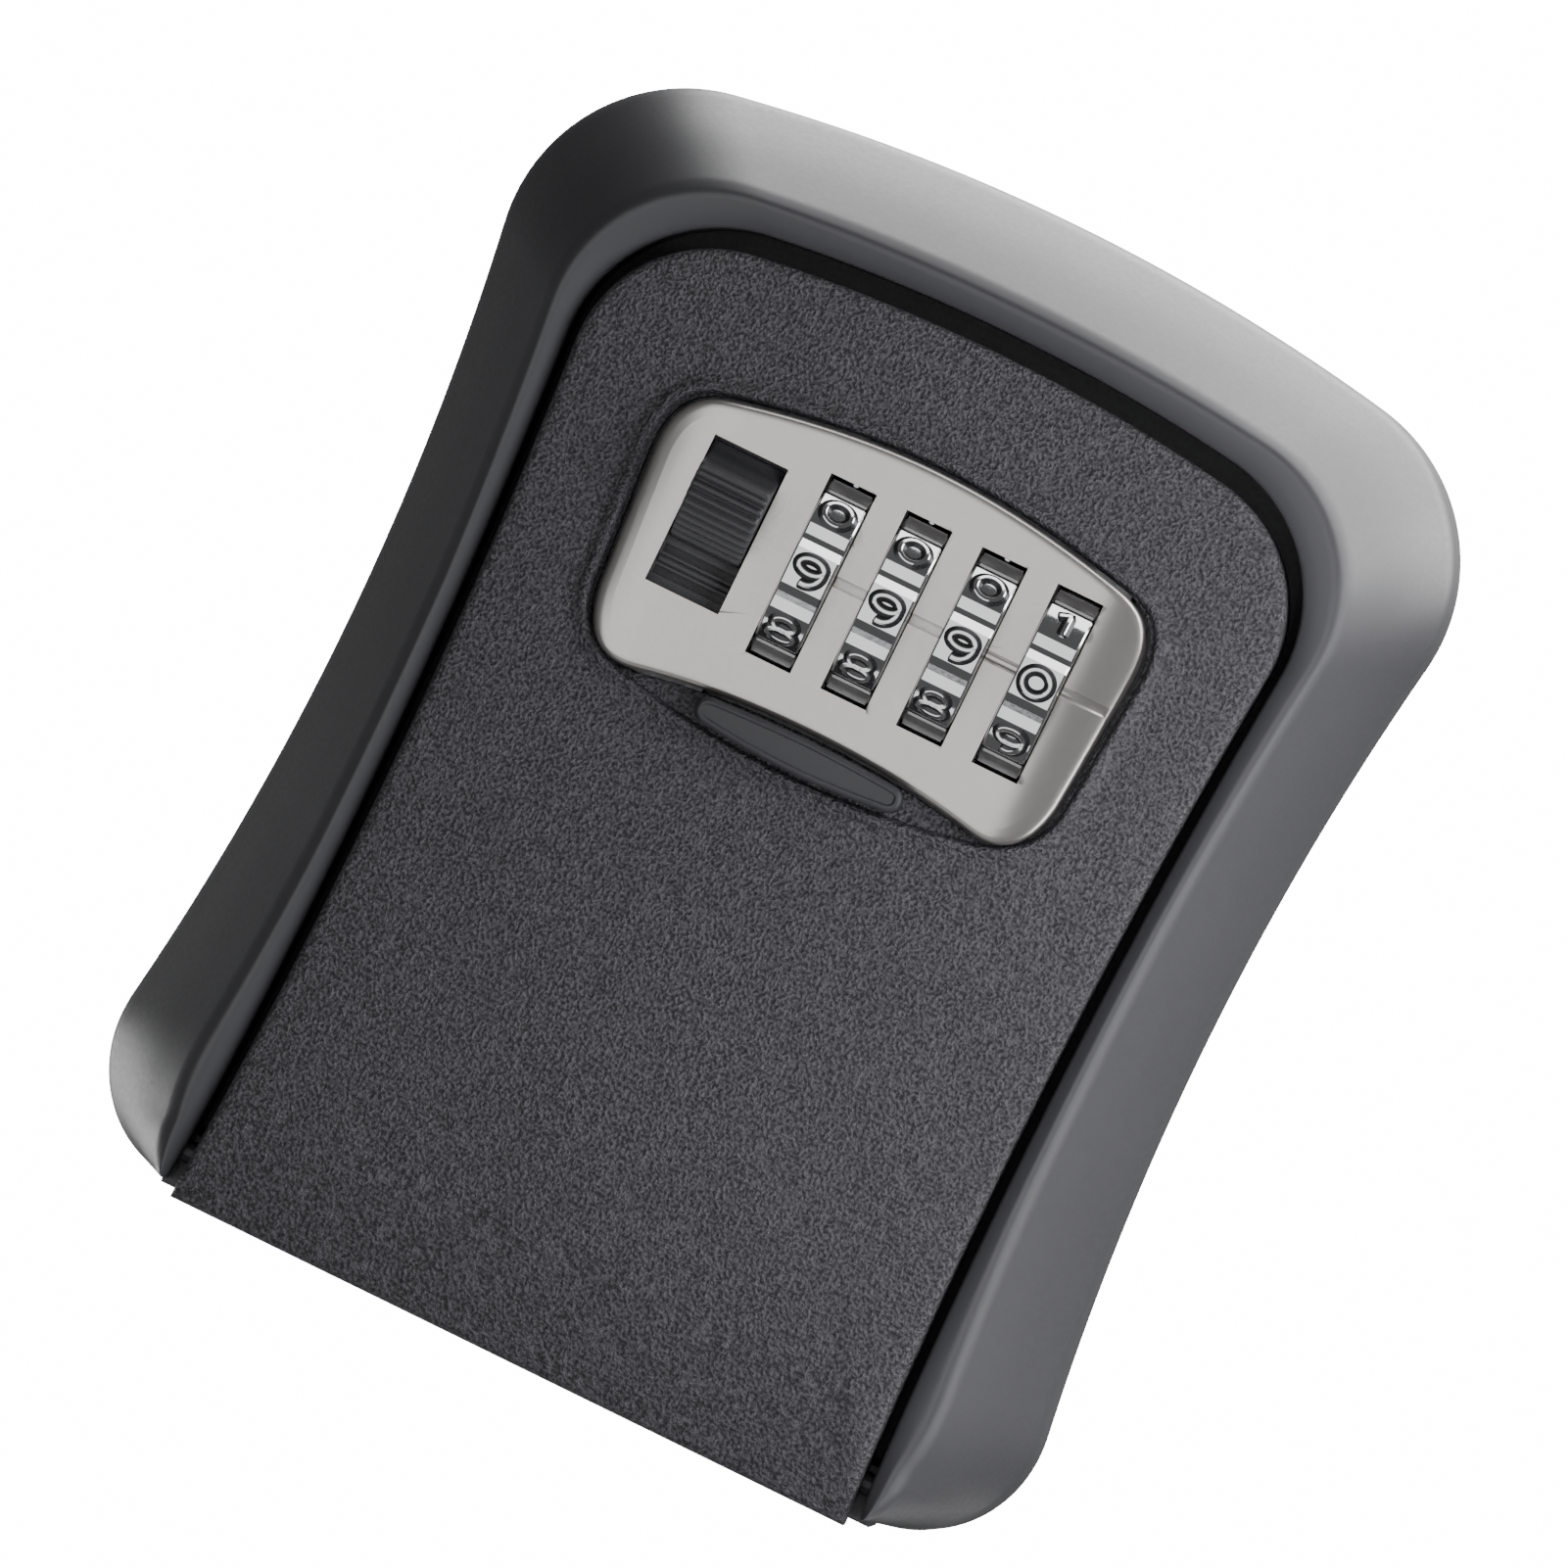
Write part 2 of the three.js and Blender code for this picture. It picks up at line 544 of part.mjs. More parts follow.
function resetLever() {
  const plate = box([RESET.x - 3.4, RESET.x + 3.4], [-12.9, -12], [RESET.z - 2.6, RESET.z + 2.6]);
  const knob = slice(
    new THREE.Shape([
      new THREE.Vector2(-12.2, RESET.z - 2),
      new THREE.Vector2(-10.6, RESET.z - 1.2),
      new THREE.Vector2(-10.6, RESET.z + 1.2),
      new THREE.Vector2(-12.2, RESET.z + 2),
    ].reverse()),
    RESET.x - 1,
    RESET.x + 1,
  );
  const stem = box([RESET.x - 1.5, RESET.x + 1.5], [-14.8, -12.5], [RESET.z - 1, RESET.z + 1]);
  return join(plate, knob, stem);
}

// ---- the open lever and its latch ----

const stemMiddle = (STEM.left + STEM.right) / 2;
const gripX = [LEVER_WINDOW.left + 0.2, LEVER_WINDOW.right - 0.2];

function openLever() {
  const base = box([-20.9, -11.6], [-32.2, -31], [11, 28.2]);
  const thumb = new THREE.Shape();
  thumb.moveTo(-31.5, 16.6);
  thumb.lineTo(-31.5, 26.8);
  thumb.lineTo(-33, 26.6);
  thumb.quadraticCurveTo(-33.8, 24.9, -36.8, 24.6);
  thumb.quadraticCurveTo(-39.6, 24.4, -40, 22.6);
  thumb.quadraticCurveTo(-38.8, 19.5, -33.4, 16.6);
  const grip = slice(thumb, ...gripX);
  const stem = box([STEM.left, STEM.right], [-31.5, STEM.rear], [STEM.low, STEM.high]);
  const holes = RIVETS.map((z) => bar("y", 1.3, -20.4, -16, stemMiddle, z, 12));
  return cut(join(base, grip, stem), ...holes);
}

function latchPlate() {
  const left = -21.6;
  const right = 19.5;
  const corner = (x, z) => new THREE.Vector2(x, z);
  const hook = (x) => [
    corner(x + 2.5, 33),
    corner(x + 2.5, HOOK_TOP),
    corner(x - 2.5, HOOK_TOP),
    corner(x - 2.5, 33),
  ];
  const shape = new THREE.Shape([
    corner(left, 14),
    corner(-13, 14),
    corner(-13, 29.8),
    corner(right, 29.8),
    corner(right, 33),
    ...hook(12),
    ...hook(-12),
    corner(left, 33),
  ]);
  const holes = RIVETS.map((z) => bar("y", 1.3, -18, -14, stemMiddle, z, 12));
  return cut(slab(shape, LATCH.rear, LATCH.front), ...holes);
}

const leverRivet = (z) => bar("y", 1, -20, LATCH.rear + 0.1, stemMiddle, z, 12);

// A coil spring between the carrier's shelf and the lever's stem.
function leverSpring() {
  class Helix extends THREE.Curve {
    getPoint(t) {
      const angle = 2 * Math.PI * SPRING.turns * t;
      return new THREE.Vector3(
        stemMiddle + SPRING.radius * Math.cos(angle),
        SPRING.y + SPRING.radius * Math.sin(angle),
        SPRING.low + (SPRING.high - SPRING.low) * t,
      );
    }
  }
  const wire = new THREE.Shape();
  wire.absarc(0, 0, SPRING.wire, 0, 2 * Math.PI, false);
  const options = { steps: 50, curveSegments: 3, bevelEnabled: false, extrudePath: new Helix() };
  return new THREE.ExtrudeGeometry(wire, options);
}

// ---- the assembly ----

const lockBox = new THREE.Group();

function addPart(group, name, geometry, material) {
  const mesh = new THREE.Mesh(geometry, material.clone());
  mesh.name = name;
  group.add(mesh);
}

const housing = new THREE.Group();
addPart(housing, "outer_frame", outerFrame(), MATERIALS.frame);
addPart(housing, "rear_case", rearCase(), MATERIALS.frame);
addPart(housing, "door_seal", doorSeal(), MATERIALS.rubber);
addPart(housing, "strike_plate", strikePlate(), MATERIALS.steel);
addPart(housing, "strike_rivet_right", strikeRivet(1), MATERIALS.steel);
addPart(housing, "strike_rivet_left", strikeRivet(-1), MATERIALS.steel);
addPart(housing, "key_hook", keyHook(), MATERIALS.steel);
addPart(housing, "hinge_pin_right", hingePin(1), MATERIALS.steel);
addPart(housing, "hinge_pin_left", hingePin(-1), MATERIALS.steel);
CASE_SCREWS.forEach(([x, z], i) => {
  const size = { rear: -0.4, head: 2.8, headDepth: 1.1, shank: 1.5, tip: -13.6 };
  addPart(housing, `case_screw_${i + 1}`, screw(x, z, size), MATERIALS.steel);
});

const door = new THREE.Group();
addPart(door, "door_shell", doorShell(), MATERIALS.door);
addPart(door, "dial_plate", dialPlate(), MATERIALS.plate);
addPart(door, "finger_lip", fingerLip(), MATERIALS.blackPlastic);
addPart(door, "wheel_carrier", wheelCarrier(), MATERIALS.steel);
addPart(door, "wheel_axle", wheelAxle(), MATERIALS.steel);
addPart(door, "axle_clip", axleClip(), MATERIALS.steel);
addPart(door, "detent_spring", detentSpring(), MATERIALS.steel);
addPart(door, "module_cover", moduleCover(), MATERIALS.steel);
addPart(door, "lever_spring", leverSpring(), MATERIALS.steel);
MODULE_SCREWS.forEach(([x, z], i) => {
  const size = { rear: -11.9, head: 2.4, headDepth: 1, shank: 1.1, tip: -22 };
  addPart(door, `module_screw_${i + 1}`, screw(x, z, size), MATERIALS.steel);
});

const lever = new THREE.Group();
addPart(lever, "open_lever", openLever(), MATERIALS.blackPlastic);
addPart(lever, "latch_plate", latchPlate(), MATERIALS.steel);
RIVETS.forEach((z, i) => addPart(lever, `lever_rivet_${i + 1}`, leverRivet(z), MATERIALS.steel));

for (let n = 0; n < 4; n++) {
  addPart(door, `number_wheel_${n + 1}`, numberWheel(n), MATERIALS.chrome);
  addPart(door, `code_sleeve_${n + 1}`, codeSleeve(n), MATERIALS.brass);
}

addPart(door, "reset_lever", resetLever(), MATERIALS.blackPlastic);
door.add(lever);
lockBox.add(housing, door);

export default lockBox;
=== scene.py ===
"""Looks of a wall-mounted key lock box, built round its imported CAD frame. Lengths here are millimetres."""

import math

import bpy
import bmesh
from mathutils import Matrix, Vector


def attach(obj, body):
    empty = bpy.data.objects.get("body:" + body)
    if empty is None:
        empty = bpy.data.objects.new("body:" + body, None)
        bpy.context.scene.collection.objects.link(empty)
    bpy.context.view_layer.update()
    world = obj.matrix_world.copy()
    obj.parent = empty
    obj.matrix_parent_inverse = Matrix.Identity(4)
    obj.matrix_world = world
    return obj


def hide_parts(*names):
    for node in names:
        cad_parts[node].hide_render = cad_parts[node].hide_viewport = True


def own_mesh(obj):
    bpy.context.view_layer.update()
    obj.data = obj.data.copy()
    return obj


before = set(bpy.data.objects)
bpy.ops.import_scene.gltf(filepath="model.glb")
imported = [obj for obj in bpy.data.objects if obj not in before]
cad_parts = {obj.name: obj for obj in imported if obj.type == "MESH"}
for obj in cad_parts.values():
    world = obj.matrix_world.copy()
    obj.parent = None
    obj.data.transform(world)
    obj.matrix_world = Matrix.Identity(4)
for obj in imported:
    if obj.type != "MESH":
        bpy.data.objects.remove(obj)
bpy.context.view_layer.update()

MM = 0.001  # metres in a millimetre


# ---- camera, floor and light ----

ROLL = 26.0  # degrees that the object leans clockwise in the picture
YAW, PITCH = 2.6, 0.4  # degrees: the camera stands a little to the right and above
DISTANCE = 2500.0
VIEW_WIDTH = 147.4  # width of the view at the object
AIM = Vector((-0.95, -15.0, 0.35))
CLIP_START, CLIP_END = 0.05, 20.0  # metres
FLOOR_Z = -240.0
FLOOR_RADIUS = 1.1  # metres
FLOOR_FADE = (0.3, 0.95)  # shares of the radius between which the floor fades out
BACKDROP_STRENGTH = 16.0  # what the camera sees behind the object
WORLD_LIGHT = 0.1  # what lights the object from all round
LIGHTS = [  # name, yaw, pitch, distance, (width, height), watts
    ("top_softbox", 143, 55, 600, (1150, 560), 15.0),
    ("front_panel", -18, -5, 1000, (1180, 1150), 5.2),
    ("high_front", -8, 83, 700, (500, 200), 0.9),
    ("right_side", 85, 8, 420, (120, 420), 0.8),
    ("right_corner", 131, 24, 500, (210, 160), 0.76),
    ("right_fill", 34, 6, 145, (80, 150), 0.42),
    ("low_front", 2, -66, 500, (460, 70), 0.12),
    ("low_right", 130, -35, 300, (150, 110), 0.05),
    ("low_left", -128, -25, 300, (150, 130), 0.26),
]
UNREFLECTED = "right_fill"  # lights the paint and shows in no reflection


def direction(yaw, pitch):
    """Unit vector from the object towards a place yaw degrees to the right and pitch degrees up."""
    a, e = math.radians(yaw), math.radians(pitch)
    return Vector((math.sin(a) * math.cos(e), -math.cos(a) * math.cos(e), math.sin(e)))


def add_camera():
    data = bpy.data.cameras.new("camera")
    data.sensor_width = 36.0
    data.lens = data.sensor_width * DISTANCE / VIEW_WIDTH
    data.clip_start, data.clip_end = CLIP_START, CLIP_END
    camera = bpy.data.objects.new("camera", data)
    bpy.context.collection.objects.link(camera)
    back = direction(YAW, PITCH)
    turn = (-back).to_track_quat("-Z", "Y").to_matrix().to_4x4() @ Matrix.Rotation(math.radians(ROLL), 4, "Z")
    camera.matrix_world = Matrix.Translation((AIM + back * DISTANCE) * MM) @ turn
    bpy.context.scene.camera = camera


def add_area(name, yaw, pitch, distance, size, power):
    data = bpy.data.lights.new(name, "AREA")
    data.shape = "RECTANGLE"
    data.size, data.size_y = size[0] * MM, size[1] * MM
    data.energy = power
    light = bpy.data.objects.new(name, data)
    bpy.context.collection.objects.link(light)
    back = direction(yaw, pitch)
    turn = back.to_track_quat("Z", "Y").to_matrix().to_4x4()
    light.matrix_world = Matrix.Translation(back * distance * MM) @ turn
    light.visible_camera = False
    light.visible_glossy = name != UNREFLECTED


def add_world():
    world = bpy.data.worlds.new("studio")
    bpy.context.scene.world = world
    world.use_nodes = True
    nodes, links = world.node_tree.nodes, world.node_tree.links
    nodes.clear()
    out = nodes.new("ShaderNodeOutputWorld")
    seen = nodes.new("ShaderNodeBackground")
    seen.inputs["Color"].default_value = (1, 1, 1, 1)
    seen.inputs["Strength"].default_value = BACKDROP_STRENGTH
    lit = nodes.new("ShaderNodeBackground")
    lit.inputs["Color"].default_value = (1, 1, 1, 1)
    lit.inputs["Strength"].default_value = WORLD_LIGHT
    path = nodes.new("ShaderNodeLightPath")
    mix = nodes.new("ShaderNodeMixShader")
    links.new(path.outputs["Is Camera Ray"], mix.inputs[0])
    links.new(lit.outputs[0], mix.inputs[1])
    links.new(seen.outputs[0], mix.inputs[2])
    links.new(mix.outputs[0], out.inputs["Surface"])


def add_floor():
    mesh = bpy.data.meshes.new("floor")
    bm = bmesh.new()
    bmesh.ops.create_circle(bm, cap_ends=True, radius=FLOOR_RADIUS, segments=96)
    bm.to_mesh(mesh)
    bm.free()
    floor = bpy.data.objects.new("floor", mesh)
    floor.location = (0, 0, FLOOR_Z * MM)
    floor.visible_glossy = False
    bpy.context.collection.objects.link(floor)
    surface = bpy.data.materials.new("floor_pale")
    surface.use_nodes = True
    nodes, links = surface.node_tree.nodes, surface.node_tree.links
    shader = nodes["Principled BSDF"]
    shader.inputs["Base Color"].default_value = (0.94, 0.94, 0.94, 1)
    shader.inputs["Roughness"].default_value = 0.9
    place = nodes.new("ShaderNodeTexCoord")
    reach = nodes.new("ShaderNodeVectorMath")
    reach.operation = "LENGTH"
    links.new(place.outputs["Object"], reach.inputs[0])
    fade = nodes.new("ShaderNodeMapRange")
    fade.interpolation_type = "SMOOTHSTEP"
    fade.inputs["From Min"].default_value = FLOOR_RADIUS * FLOOR_FADE[0]
    fade.inputs["From Max"].default_value = FLOOR_RADIUS * FLOOR_FADE[1]
    links.new(reach.outputs["Value"], fade.inputs["Value"])
    clear = nodes.new("ShaderNodeBsdfTransparent")
    mix = nodes.new("ShaderNodeMixShader")
    links.new(fade.outputs["Result"], mix.inputs[0])
    links.new(shader.outputs[0], mix.inputs[1])
    links.new(clear.outputs[0], mix.inputs[2])
    links.new(mix.outputs[0], nodes["Material Output"].inputs["Surface"])
    mesh.materials.append(surface)


add_camera()
add_world()
add_floor()
for light_facts in LIGHTS:
    add_area(*light_facts)


# ---- materials ----

def new_material(name):
    material = bpy.data.materials.new(name)
    material.use_nodes = True
    return material, material.node_tree.nodes, material.node_tree.links


def mix_colours(nodes, links, factor, a, b):
    mix = nodes.new("ShaderNodeMix")
    mix.data_type = "RGBA"
    links.new(factor, mix.inputs["Factor"])
    mix.inputs["A"].default_value = (*a, 1)
    mix.inputs["B"].default_value = (*b, 1)
    return mix.outputs["Result"]


def ramp(nodes, links, source, low, high, to_low, to_high):
    """A value mapped from one range to another."""
    node = nodes.new("ShaderNodeMapRange")
    node.inputs["From Min"].default_value = low
    node.inputs["From Max"].default_value = high
    node.inputs["To Min"].default_value = to_low
    node.inputs["To Max"].default_value = to_high
    links.new(source, node.inputs["Value"])
    return node.outputs["Result"]


def noise(nodes, links, size, detail=2.0, stretch=(1, 1, 1)):
    """Noise with features of about this size in millimetres, fixed to the piece."""
    place = nodes.new("ShaderNodeTexCoord")
    mapping = nodes.new("ShaderNodeMapping")
    mapping.inputs["Scale"].default_value = [s / (size * MM) for s in stretch]
    links.new(place.outputs["Object"], mapping.inputs["Vector"])
    texture = nodes.new("ShaderNodeTexNoise")
    texture.inputs["Scale"].default_value = 1.0
    texture.inputs["Detail"].default_value = detail
    links.new(mapping.outputs["Vector"], texture.inputs["Vector"])
    return texture.outputs["Fac"]


def add_bump(nodes, links, shader, height, strength, depth):
    bump = nodes.new("ShaderNodeBump")
    bump.inputs["Strength"].default_value = strength
    bump.inputs["Distance"].default_value = depth * MM
    links.new(height, bump.inputs["Height"])
    links.new(bump.outputs["Normal"], shader.inputs["Normal"])


def surface_material(name, dark, light, rough, grain, bump, metallic=0.0, blotch=18.0, depth=0.01,
                     stretch=(1, 1, 1), specular=0.5):
    """Paint, plastic or metal: its colour drifts over large blotches, its gloss over a fine grain."""
    material, nodes, links = new_material(name)
    shader = nodes["Principled BSDF"]
    drift = noise(nodes, links, blotch, 3.0)
    fine = noise(nodes, links, grain, 4.0, stretch)
    links.new(mix_colours(nodes, links, drift, dark, light), shader.inputs["Base Color"])
    links.new(ramp(nodes, links, fine, 0.3, 0.7, rough[0], rough[1]), shader.inputs["Roughness"])
    shader.inputs["Metallic"].default_value = metallic
    shader.inputs["Specular IOR Level"].default_value = specular
    add_bump(nodes, links, shader, fine, bump, depth)
    return material


PEBBLE_SIZE, COARSE_SIZE, DRIFT_SIZE = 0.36, 0.9, 22.0
COARSE_SHARE = 0.25  # how much the coarse noise adds to the pebbles
PEBBLE_HEIGHT = 0.62
# painted highlight and shade on the pebbles: the darker colour goes at their feet, the lighter on their tops
PEBBLE_FOOT_PAINTED_SHADE, PEBBLE_TOP_PAINTED_LIGHT = (0.0130, 0.0125, 0.0148), (0.0470, 0.0453, 0.0525)


def powder_coat():
    """Dark grey powder coat: round pebbles about a third of a millimetre across, with a painted highlight on
    their tops and painted shade at their feet.
    """
    material, nodes, links = new_material("door_powder_coat")
    shader = nodes["Principled BSDF"]
    pebbles = noise(nodes, links, PEBBLE_SIZE, 1.5)
    coarse = noise(nodes, links, COARSE_SIZE, 2.0)
    drift = noise(nodes, links, DRIFT_SIZE, 2.0)
    both = nodes.new("ShaderNodeMath")
    both.operation = "MULTIPLY_ADD"
    links.new(coarse, both.inputs[0])
    both.inputs[1].default_value = COARSE_SHARE
    links.new(pebbles, both.inputs[2])
    tops = ramp(nodes, links, both.outputs[0], 0.48, 0.80, 0.0, 1.0)
    # painted shading of the pebbles by their height: lighter tops, darker feet
    pebble_painted_shading = mix_colours(nodes, links, tops, PEBBLE_FOOT_PAINTED_SHADE, PEBBLE_TOP_PAINTED_LIGHT)
    shade = nodes.new("ShaderNodeMix")
    shade.data_type = "RGBA"
    shade.blend_type = "MULTIPLY"
    shade.inputs["Factor"].default_value = 1.0
    links.new(pebble_painted_shading, shade.inputs["A"])
    tone = mix_colours(nodes, links, drift, (0.92, 0.92, 0.92), (1.08, 1.08, 1.08))
    links.new(tone, shade.inputs["B"])
    links.new(shade.outputs["Result"], shader.inputs["Base Color"])
    links.new(ramp(nodes, links, tops, 0.0, 1.0, 0.66, 0.5), shader.inputs["Roughness"])
    add_bump(nodes, links, shader, both.outputs[0], 1.0, PEBBLE_HEIGHT)
    return material


SURFACES = {
    "frame_paint": dict(dark=(0.026, 0.026, 0.029), light=(0.032, 0.032, 0.036), rough=(0.38, 0.46),
                        grain=0.5, bump=0.12),
    "plate_plastic": dict(dark=(0.58, 0.56, 0.54), light=(0.64, 0.62, 0.60), rough=(0.29, 0.36),
                          metallic=0.97, grain=0.25, bump=0.05, depth=0.006),
    "black_plastic": dict(dark=(0.018, 0.018, 0.020), light=(0.025, 0.025, 0.028), rough=(0.40, 0.52),
                          grain=0.3, bump=0.15, specular=0.4),
    "chrome": dict(dark=(0.72, 0.73, 0.75), light=(0.82, 0.82, 0.84), rough=(0.06, 0.12),
                   metallic=1.0, blotch=3.0, grain=0.35, bump=0.12, depth=0.008),
    # painted shade: a dark chrome for the flanks of the digits' strokes, standing in for their shade and dark
    # reflections
    "stroke_flank_painted_shade": dict(dark=(0.035, 0.035, 0.038), light=(0.07, 0.07, 0.074), rough=(0.22, 0.34),
                        metallic=0.9, blotch=3.0, grain=0.35, bump=0.12, depth=0.008),
    "dark_steel": dict(dark=(0.045, 0.045, 0.048), light=(0.07, 0.07, 0.074), rough=(0.38, 0.5),
                       metallic=1.0, blotch=3.0, grain=0.3, bump=0.15),
    "steel": dict(dark=(0.46, 0.47, 0.49), light=(0.55, 0.56, 0.58), rough=(0.26, 0.40),
                  metallic=1.0, blotch=6.0, grain=0.25, bump=0.12, depth=0.008, stretch=(0.12, 1, 1)),
    "brass": dict(dark=(0.52, 0.36, 0.15), light=(0.62, 0.45, 0.20), rough=(0.24, 0.36),
                  metallic=1.0, blotch=4.0, grain=0.2, bump=0.1, depth=0.006),
    "lip_plastic": dict(dark=(0.016, 0.016, 0.018), light=(0.022, 0.022, 0.025), rough=(0.36, 0.46),
                        grain=0.4, bump=0.12, specular=0.32),
    "case_plastic": dict(dark=(0.034, 0.034, 0.037), light=(0.046, 0.046, 0.050), rough=(0.46, 0.60),
                         grain=0.45, bump=0.35, depth=0.03),
    "zinc": dict(dark=(0.42, 0.43, 0.44), light=(0.52, 0.53, 0.54), rough=(0.34, 0.50),
                 metallic=1.0, blotch=5.0, grain=0.5, bump=0.3, depth=0.02),
    "zinc_sheet": dict(dark=(0.50, 0.51, 0.52), light=(0.58, 0.59, 0.60), rough=(0.30, 0.35),
                       metallic=1.0, blotch=7.0, grain=0.3, bump=0.03, stretch=(0.2, 1, 1)),
    "rubber": dict(dark=(0.014, 0.014, 0.015), light=(0.022, 0.022, 0.023), rough=(0.62, 0.78),
                   blotch=8.0, grain=0.4, bump=0.25, depth=0.02),
}
LOOKS = {name: surface_material(name, **facts) for name, facts in SURFACES.items()}
LOOKS["door_powder_coat"] = powder_coat()


# ---- mesh helpers ----

def mark_edges(mesh, degrees):
    """Smooth shading, with the edges sharper than this angle kept crisp."""
    bm = bmesh.new()
    bm.from_mesh(mesh)
    bmesh.ops.recalc_face_normals(bm, faces=bm.faces)
    for face in bm.faces:
        face.smooth = True
    for edge in bm.edges:
        edge.smooth = edge.is_manifold and edge.calc_face_angle(0) < math.radians(degrees)
    bm.to_mesh(mesh)
    bm.free()


def new_object(name, points, faces):
    """A mesh object from points in millimetres."""
    mesh = bpy.data.meshes.new(name)
    mesh.from_pydata([(x * MM, y * MM, z * MM) for x, y, z in points], [], faces)
    mesh.validate()
    item = bpy.data.objects.new(name, mesh)
    bpy.context.collection.objects.link(item)
    return item


def apply_modifiers(item):
    depsgraph = bpy.context.evaluated_depsgraph_get()
    mesh = bpy.data.meshes.new_from_object(item.evaluated_get(depsgraph))
    old = item.data
    item.modifiers.clear()
    item.data = mesh
    bpy.data.meshes.remove(old)


def boolean(item, tool, operation):
    modifier = item.modifiers.new(operation, "BOOLEAN")
    modifier.operation = operation
    modifier.solver = "EXACT"
    modifier.object = tool
    apply_modifiers(item)
    bpy.data.objects.remove(tool)


def bevel(item, width, degrees, segments):
    modifier = item.modifiers.new("bevel", "BEVEL")
    modifier.width = width * MM
    modifier.segments = segments
    modifier.limit_method = "ANGLE"
    modifier.angle_limit = math.radians(degrees)
    modifier.use_clamp_overlap = True
    apply_modifiers(item)


def finish_piece(item, body, look, node, sharp, second=None, weighted=False):
    """Gives a piece its look and its body, and hides the CAD node it stands for."""
    mark_edges(item.data, sharp)
    item.data.materials.append(LOOKS[look])
    if second:
        item.data.materials.append(LOOKS[second])
    if weighted:
        even = item.modifiers.new("even_shading", "WEIGHTED_NORMAL")
        even.keep_sharp = True
    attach(item, body)
    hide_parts(node)


def loft(name, rings, round_trip=False):
    """A closed surface through rings of points: the end rings are capped, or joined to each other."""
    count = len(rings[0])
    points = [p for ring in rings for p in ring]
    faces = []
    spans = len(rings) if round_trip else len(rings) - 1
    for s in range(spans):
        a0, b0 = s * count, ((s + 1) % len(rings)) * count
        for i in range(count):
            j = (i + 1) % count
            faces.append((a0 + i, a0 + j, b0 + j, b0 + i))
    if not round_trip:
        faces.append(tuple(range(count)))
        last = (len(rings) - 1) * count
        faces.append(tuple(range(last + count - 1, last - 1, -1)))
    return new_object(name, points, faces)


def prism(name, outline, rear, front):
    """An outline in X and Z, given thickness from rear to front."""
    return loft(name, [[(x, y, z) for x, z in outline] for y in (rear, front)])


def block(name, x, y, z):
    return prism(name, [(x[0], z[0]), (x[1], z[0]), (x[1], z[1]), (x[0], z[1])], y[0], y[1])


def circle(radius, sides):
    angles = [2 * math.pi * i / sides for i in range(sides)]
    return [(radius * math.cos(a), radius * math.sin(a)) for a in angles]


def rod(name, axis, radius, start, end, at, sides):
    """A round bar along X or Y, at the other two coordinates."""
    place = {
        "x": lambda s, a, b: (s, at[0] + a, at[1] + b),
        "y": lambda s, a, b: (at[0] + a, s, at[1] + b),
    }[axis]
    return loft(name, [[place(s, a, b) for a, b in circle(radius, sides)] for s in (start, end)])


def bend(a, control, b, steps):
    """Points along a quadratic curve, without its first."""
    a, c, b = Vector(a), Vector(control), Vector(b)
    return [tuple(a.lerp(c, i / steps).lerp(c.lerp(b, i / steps), i / steps)) for i in range(1, steps + 1)]


# ---- arched outlines, as in the frame ----

BODY = dict(apex=59.9, top=191.0, waist=45.1, waist_z=-5.0, side=272.0, corner=17.8)
OPENING = dict(apex=47.9, top=172.0, waist=35.4, waist_z=-22.0, side=700.0, corner=15.2)
DOOR = dict(apex=45.4, top=170.0, waist=33.95, waist_z=-22.0, side=640.0, corner=13.5)
LOBE = dict(x=37.1, z=-46.3, width=10.99, height=11.8)  # quarter ellipse at each foot of the frame
LOBE_END, LOBE_STEPS = 0.147, 26  # radians above the lobe's middle where the side takes over
SHARP_TURN = 30  # degrees: a corner this sharp is kept when an outline is resampled


def inset(o, by):
    return dict(apex=o["apex"] - by, top=o["top"] - by, waist=o["waist"] - by, waist_z=o["waist_z"],
                side=o["side"] + by, corner=o["corner"] - by)


def arc(cx, cz, radius, start, end, steps):
    angles = [start + (end - start) * i / steps for i in range(steps + 1)]
    return [(cx + radius * math.cos(a), cz + radius * math.sin(a)) for a in angles]


def side_x(o, z):
    """Half width of an outline's side at a height."""
    return o["waist"] + o["side"] - math.sqrt(o["side"] ** 2 - (z - o["waist_z"]) ** 2)


def half_arch(o, bottom, steps):
    """The right half of an arched outline, from a height on its side to its apex."""
    top_z = o["apex"] - o["top"]
    side_cx = o["waist"] + o["side"]
    reach_top, reach_side = o["top"] - o["corner"], o["side"] + o["corner"]
    dx, dz = side_cx, o["waist_z"] - top_z
    distance = math.hypot(dx, dz)
    along = (reach_top ** 2 - reach_side ** 2 + distance ** 2) / (2 * distance)
    across = math.sqrt(reach_top ** 2 - along ** 2)
    ux, uz = dx / distance, dz / distance
    cx, cz = ux * along - uz * across, top_z + uz * along + ux * across
    side_end = math.atan2(cz - o["waist_z"], cx - side_cx)
    side_start = math.pi - math.asin((bottom - o["waist_z"]) / o["side"])
    corner_start = math.atan2(o["waist_z"] - cz, side_cx - cx)
    corner_end = math.atan2(cz - top_z, cx)
    return (arc(side_cx, o["waist_z"], o["side"], side_start, side_end % (2 * math.pi), steps[0])
            + arc(cx, cz, o["corner"], corner_start, corner_end, steps[1])[1:]
            + arc(0, top_z, o["top"], corner_end, math.pi / 2, steps[2])[1:])


def both_sides(half):
    """A whole outline from its right half."""
    return half + [(-x, z) for x, z in reversed(half) if abs(x) > 1e-6]


